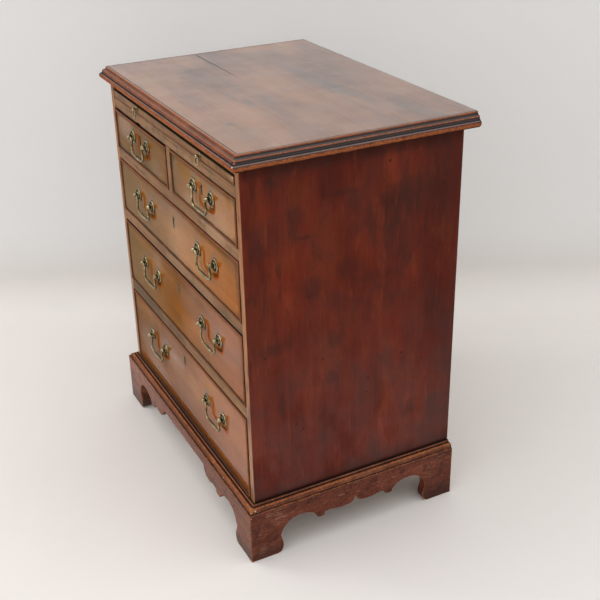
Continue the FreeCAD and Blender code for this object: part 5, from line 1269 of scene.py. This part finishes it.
def give(node, mat, bevel=0.5, weld=True, angle=38):
    """A carried-over CAD node gets a material, soft edges and clean shading."""
    o = N[node]
    o.data.materials.clear()
    o.data.materials.append(mat)
    if weld:
        w = o.modifiers.new("weld", "WELD")
        w.merge_threshold = 0.000004
    if bevel:
        b = o.modifiers.new("bevel", "BEVEL")
        b.width = bevel * MM
        b.segments = 2
        b.limit_method = "ANGLE"
        b.angle_limit = math.radians(angle)
    w = o.modifiers.new("wn", "WEIGHTED_NORMAL")
    w.weight = 50
    return o


# carcass
V, Fc, A, B = top_board()
top_o = make("top_board", V, Fc, M["top"], "carcass", ("top",), {"wear": A, "grime_and_shade": B}, weld=0.02, fill=True)
top_o.data.materials.append(M["top_edge"])
for p in top_o.data.polygons:
    p.material_index = 0 if p.normal.z > 0.99 and p.center.z > (H - 1.5) * MM else 1
V, Fc, A, B = moulded(base_profile(), 5.0, R, chips=((HW + 12, F - 12, 4.0, 1.6), (HW - 160, F - 14, 3.0, 0.7), (-120, F - 14, 2.5, 0.6)))
make("base_mould", V, Fc, M["base"], "carcass", ("base_moulding",), {"wear": A, "grime_and_shade": B}, weld=0.02)


def place_front(s, q, z):
    return (s, F - PL + q, z)


def place_side(sign):
    c = (F - PL + R) / 2

    def f(s, q, z):
        return (sign * (HW + PL - q), c + s, z)
    return f


hl = (R - F + PL) / 2
plinth_board("plinth_front", FRONT_APRON, (HW + PL) / 336.5, HW + PL, place_front, M["plinth"], 1.0)
plinth_board("plinth_left", SIDE_APRON, 1.0, hl, place_side(-1), M["plinth_side"], 5.0, (True, False))
plinth_board("plinth_right", SIDE_APRON, 1.0, hl, place_side(1), M["plinth_side"], 9.0, (True, False))
give("side_right", side_mat("side_wood_right", 1), 0.6)
give("side_left", side_mat("side_wood_left", -1), 0.6)
give("drawer_rails", M["rail"], 0.5)
give("slide_rail", M["slide_rail"], 0.5)
give("centre_divider", M["divider"], 0.5)
give("slide_board", M["slide"], 0.6)
give("inner_rails_boards_and_blocks", M["pine"], 0.4)
give("rear_foot_brackets", M["pine"], 0.8)
give("back_boards", M["back"], 0.8)

# drawers
for d, (xa, xb, za, zb) in ROWS.items():
    give(d + "_front", front_mat(d), 0.35)
    give(d + "_cock_beads", bead_mat(d), 0.0)
    give(d + "_box", M["oak"], 0.5)
    give(d + "_lock", M["iron"], 0.4)
    give(d + "_lock_bolt", M["iron"], 0.4)
    xs, hz = HANDLES[d]
    V, Fc, D = escutcheon_parts(*KEYS[d])
    make(d + "_key_plate", V, Fc, M["brass"], d + "_drawer", (d + "_escutcheon",), {"tarnish_and_shade": D}, weighted=False)
    parts = []
    for hx in xs:
        for s in (-1, 1):
            px = hx + s * SP / 2
            parts += [lathe(ROSE, 48, (px, F, hz), wob=0.004, seed=px), post_parts(px, hz), nut_parts(px, hz)]
    V, Fc, D = joined(parts)
    make(d + "_brass", V, Fc, M["brass"], d + "_drawer", (d + "_fittings",), {"tarnish_and_shade": D}, weighted=False)
    for i, hx in enumerate(xs):
        tag = "" if len(xs) == 1 else ("_left" if i == 0 else "_right")
        P, rad = bail_path(hx, hz)
        V, Fc = tube(P, rad, 16)
        D = []
        for q, v in enumerate(V):                  # rubbed bright on the front and outside; tarnish and painted shade behind and underneath
            c = P[min(q // 16, len(P) - 1)]
            n = Vector((v[0] - c[0], v[1] - c[1], v[2] - c[2]))
            n = n.normalized() if n.length > 1e-6 else Vector((0, 0, 0))
            D.append(min(1.0, max(0.0, 0.10 + 0.95 * n.y - 0.45 * n.z)))
        make(d + "_bail" + tag + "_brass", V, Fc, M["brass"], d + "_bail" + tag, (d + "_bail" + tag,),
             {"tarnish_and_shade": D}, weighted=False)

# brushing slide's pulls and rings
PX, PZ, PT_ = 158.0, 731.0, 6.2
parts = []
for s in (-1, 1):
    prof = [(1.2, -17.8, 0.5), (1.2, 0.0, 1.0), (5.4, 0.0, 1.0), (5.6, 0.2, 0.3), (5.55, 0.7, 0.0), (5.0, 1.3, 0.0), (4.4, 1.55, 0.5), (3.8, 1.35, 1.0),
            (3.0, 1.5, 0.6), (2.4, 2.1, 0.2), (2.1, 2.6, 0.6), (2.05, 3.3, 0.9)]
    prof += ball_profile(3.2, PT_, 1.6, 0.6)
    prof += [(0.001, PT_ + 3.2, 0.0)]
    parts.append(lathe(prof, 24, (s * PX, F, PZ), seed=s))
V, Fc, D = joined(parts)
make("slide_pull_brass", V, Fc, M["brass"], "brushing_slide", ("slide_pulls",), {"tarnish_and_shade": D}, weighted=False)
for s, nm in ((-1, "left"), (1, "right")):
    hw, rc = 6.4, 2.4
    pts = [(-hw + rc, 0.0)] + [(-hw + rc + (2 * (hw - rc)) * k / 6, 0.0) for k in range(1, 6)]
    pts += [(hw - rc + rc * math.sin(a), -rc + rc * math.cos(a)) for a in (math.pi / 2 * k / 5 for k in range(0, 6))]
    pts += [(hw, -rc - (10.0 - rc) * k / 4) for k in range(1, 4)]
    pts += [(hw * math.cos(a), -10.0 - hw * math.sin(a)) for a in (math.pi * k / 20 for k in range(0, 21))]
    pts += [(-hw, -10.0 + (10.0 - rc) * k / 4) for k in range(1, 4)]
    pts += [(-hw + rc - rc * math.cos(a), -rc + rc * math.sin(a)) for a in (math.pi / 2 * k / 5 for k in range(0, 5))]
    n = len(pts)
    segs = 12
    V, Fc = [], []
    for i, (u, v) in enumerate(pts):
        a, b = pts[i - 1], pts[(i + 1) % n]
        t = np.array([b[0] - a[0], 0, b[1] - a[1]])
        t /= np.linalg.norm(t)
        side = np.cross((0, 1, 0), t)
        for k in range(segs):
            ang = 2 * math.pi * k / segs
            r = 1.08
            V.append((s * PX + u + r * math.cos(ang) * side[0], F - PT_ + r * math.sin(ang), PZ + v + r * math.cos(ang) * side[2]))
    for i in range(n):
        for k in range(segs):
            Fc.append((i * segs + k, i * segs + (k + 1) % segs, ((i + 1) % n) * segs + (k + 1) % segs, ((i + 1) % n) * segs + k))
    make("slide_ring_" + nm + "_brass", V, Fc, M["brass"], "ring_" + nm, ("slide_ring_" + nm,), {"tarnish_and_shade": [0.1] * len(V)}, weighted=False)

# ------------------------------------------------------------------ camera
AZ, EL, ROLL, FPX = math.radians(63.158), math.radians(26.928), math.radians(-1.253), 1018.3
POS = Vector((1.6759, -0.8003, 1.2803))
back = Vector((math.sin(AZ) * math.cos(EL), -math.cos(AZ) * math.cos(EL), math.sin(EL)))
right = (-back).cross(Vector((0, 0, 1))).normalized()
up = right.cross(-back)
r2 = math.cos(ROLL) * right + math.sin(ROLL) * up
u2 = -math.sin(ROLL) * right + math.cos(ROLL) * up
cam = bpy.data.cameras.new("camera")
cam.lens = 36.0 * FPX / 600.0
cam.sensor_width = 36.0
cam.clip_start = 0.05
cam_o = bpy.data.objects.new("camera", cam)
bpy.context.scene.collection.objects.link(cam_o)
cam_o.matrix_world = Matrix(((r2.x, u2.x, back.x, POS.x), (r2.y, u2.y, back.y, POS.y), (r2.z, u2.z, back.z, POS.z), (0, 0, 0, 1)))
bpy.context.scene.camera = cam_o

# ------------------------------------------------------------------ floor, backdrop and lights
hd = Vector((-math.sin(AZ), math.cos(AZ), 0))       # away from the camera, level
sd = Vector((math.cos(AZ), math.sin(AZ), 0))        # to the camera's right
d_wall = 0.66
V, Fc = [], []
prof = [(-3.2, 0.0)] + [(-2.6 + 0.1 * k, 0.0) for k in range(0, 32)]
rad = 0.10
prof = [p for p in prof if p[0] < d_wall - rad] + [(d_wall - rad + rad * math.sin(a), rad - rad * math.cos(a)) for a in (math.pi / 2 * k / 8 for k in range(9))]
prof += [(d_wall, 0.5), (d_wall, 1.2), (d_wall, 2.6)]
for (a, z) in prof:
    for b in (-4.0, -2.0, 0.0, 2.0, 4.0, 7.0):
        p = hd * a + sd * b
        V.append((p.x * 1000, p.y * 1000, z * 1000))
for i in range(len(prof) - 1):
    for j in range(5):
        q = i * 6 + j
        Fc.append((q, q + 1, q + 7, q + 6))
g = G("floor_pale")
fn = g.noise(g.mapped((3, 3, 3)), 1.0, 4.0, 0.6)
fn2 = g.noise(g.mapped((60, 60, 60)), 1.0, 3.0, 0.6)
hz_ = g.rng(g.xyz()[2], 0.02, 0.25)
fcol = g.mix(fn, (0.755, 0.715, 0.682), (0.800, 0.760, 0.727))
wcol_ = g.mix(fn, (0.835, 0.832, 0.816), (0.865, 0.862, 0.846))
g.set(color=g.mix(hz_, fcol, wcol_), rough=g.rng(fn2, 0.3, 0.7, 0.6, 0.75), spec=0.2)
# the wall can be seen through from behind, so that the back of the chest can be looked at
out_ = [n for n in g.mat.node_tree.nodes if n.type == "OUTPUT_MATERIAL"][0]
lit_ = out_.inputs["Surface"].links[0].from_socket
geo_, clear_, both_ = (g.mat.node_tree.nodes.new("ShaderNode" + k) for k in ("NewGeometry", "BsdfTransparent", "MixShader"))
g.mat.node_tree.links.new(geo_.outputs["Backfacing"], both_.inputs[0])
g.mat.node_tree.links.new(lit_, both_.inputs[1])
g.mat.node_tree.links.new(clear_.outputs[0], both_.inputs[2])
g.mat.node_tree.links.new(both_.outputs[0], out_.inputs["Surface"])
# beyond the studio: more of the same floor and wall, which only the camera sees
V2, F2 = [], []
e0, e1, w1, t1 = d_wall - rad, 9.0, 12.0, 4.5


def far_quad(*pts):
    for a, b, z in pts:
        q = hd * a + sd * b
        V2.append((q.x * 1000, q.y * 1000, z * 1000))
    F2.append(tuple(range(len(V2) - 4, len(V2))))


far_quad((e0, -w1, 0), (e0, w1, 0), (e1, w1, 0), (e1, -w1, 0))
far_quad((-e1, -w1, 0), (-e1, w1, 0), (-3.2, w1, 0), (-3.2, -w1, 0))
far_quad((-3.2, 7, 0), (-3.2, w1, 0), (e0, w1, 0), (e0, 7, 0))
far_quad((-3.2, -w1, 0), (-3.2, -4, 0), (e0, -4, 0), (e0, -w1, 0))
far_quad((d_wall, -w1, 0), (d_wall, -4, 0), (d_wall, -4, t1), (d_wall, -w1, t1))
far_quad((d_wall, 7, 0), (d_wall, w1, 0), (d_wall, w1, t1), (d_wall, 7, t1))
far_quad((d_wall, -4, 2.6), (d_wall, 7, 2.6), (d_wall, 7, t1), (d_wall, -4, t1))
for nm, v_, f_ in (("studio", V, Fc), ("studio_far", V2, F2)):
    me = bpy.data.meshes.new(nm)
    me.from_pydata([(x * MM, y * MM, z * MM) for x, y, z in v_], [], f_)
    for p in me.polygons:
        p.use_smooth = nm == "studio"
    me.materials.append(g.mat)
    stage = bpy.data.objects.new(nm, me)
    bpy.context.scene.collection.objects.link(stage)
for k_ in ("diffuse", "glossy", "transmission", "volume_scatter", "shadow"):
    setattr(stage, "visible_" + k_, False)


def area(name, loc, target, size, energy, color=(1, 1, 1), size_y=None):
    l = bpy.data.lights.new(name, "AREA")
    l.shape = "RECTANGLE"
    l.size = size
    l.size_y = size_y or size
    l.energy = energy
    l.color = color
    o = bpy.data.objects.new(name, l)
    bpy.context.scene.collection.objects.link(o)
    o.location = loc
    o.rotation_euler = (Vector(target) - Vector(loc)).to_track_quat("-Z", "Y").to_euler()
    return o


sun = bpy.data.lights.new("key", "SUN")
sun.energy = 0.12
sun.angle = math.radians(80)
sun.color = (1.0, 0.985, 0.965)
sun_o = bpy.data.objects.new("key", sun)
bpy.context.scene.collection.objects.link(sun_o)
sun_o.rotation_euler = Vector((0.45, 0.65, -1.15)).to_track_quat("-Z", "Y").to_euler()
area("softbox", (-1.5, -1.5, 2.0), (0.0, -0.1, 0.45), 0.9, 15.0, (1.0, 0.99, 0.975))
world = bpy.data.worlds.new("studio_world")
bpy.context.scene.world = world
world.use_nodes = True
wt = world.node_tree
wc = wt.nodes.new("ShaderNodeTexCoord")


def lobe(direction, lo, hi, a, b):
    """Sky strength that goes from a to b as the view turns towards a direction."""
    wd = wt.nodes.new("ShaderNodeVectorMath")
    wd.operation = "DOT_PRODUCT"
    wt.links.new(wc.outputs["Generated"], wd.inputs[0])
    wd.inputs[1].default_value = Vector(direction).normalized()
    wm = wt.nodes.new("ShaderNodeMapRange")
    wm.interpolation_type = "SMOOTHSTEP"
    for k_, v_ in (("From Min", lo), ("From Max", hi), ("To Min", a), ("To Max", b)):
        wm.inputs[k_].default_value = v_
    wt.links.new(wd.outputs["Value"], wm.inputs["Value"])
    return wm


wsum = wt.nodes.new("ShaderNodeMath")
wsum.operation = "SUBTRACT"
wt.links.new(lobe((-0.50, -0.35, 0.79), -0.5, 0.95, 1.00, 1.60).outputs[0], wsum.inputs[0])
wt.links.new(lobe((0.90, -0.42, 0.10), 0.35, 0.95, 0.0, 0.50).outputs[0], wsum.inputs[1])
wt.nodes["Background"].inputs[0].default_value = (0.985, 0.99, 1.0, 1)
wseen = wt.nodes.new("ShaderNodeMix")
wt.links.new(wt.nodes.new("ShaderNodeLightPath").outputs["Is Camera Ray"], wseen.inputs[0])
wt.links.new(wsum.outputs[0], wseen.inputs[2])
wseen.inputs[3].default_value = 0.78
wt.links.new(wseen.outputs[0], wt.nodes["Background"].inputs[1])
bpy.context.scene.view_settings.view_transform = "Standard"
bpy.context.scene.view_settings.look = "None"
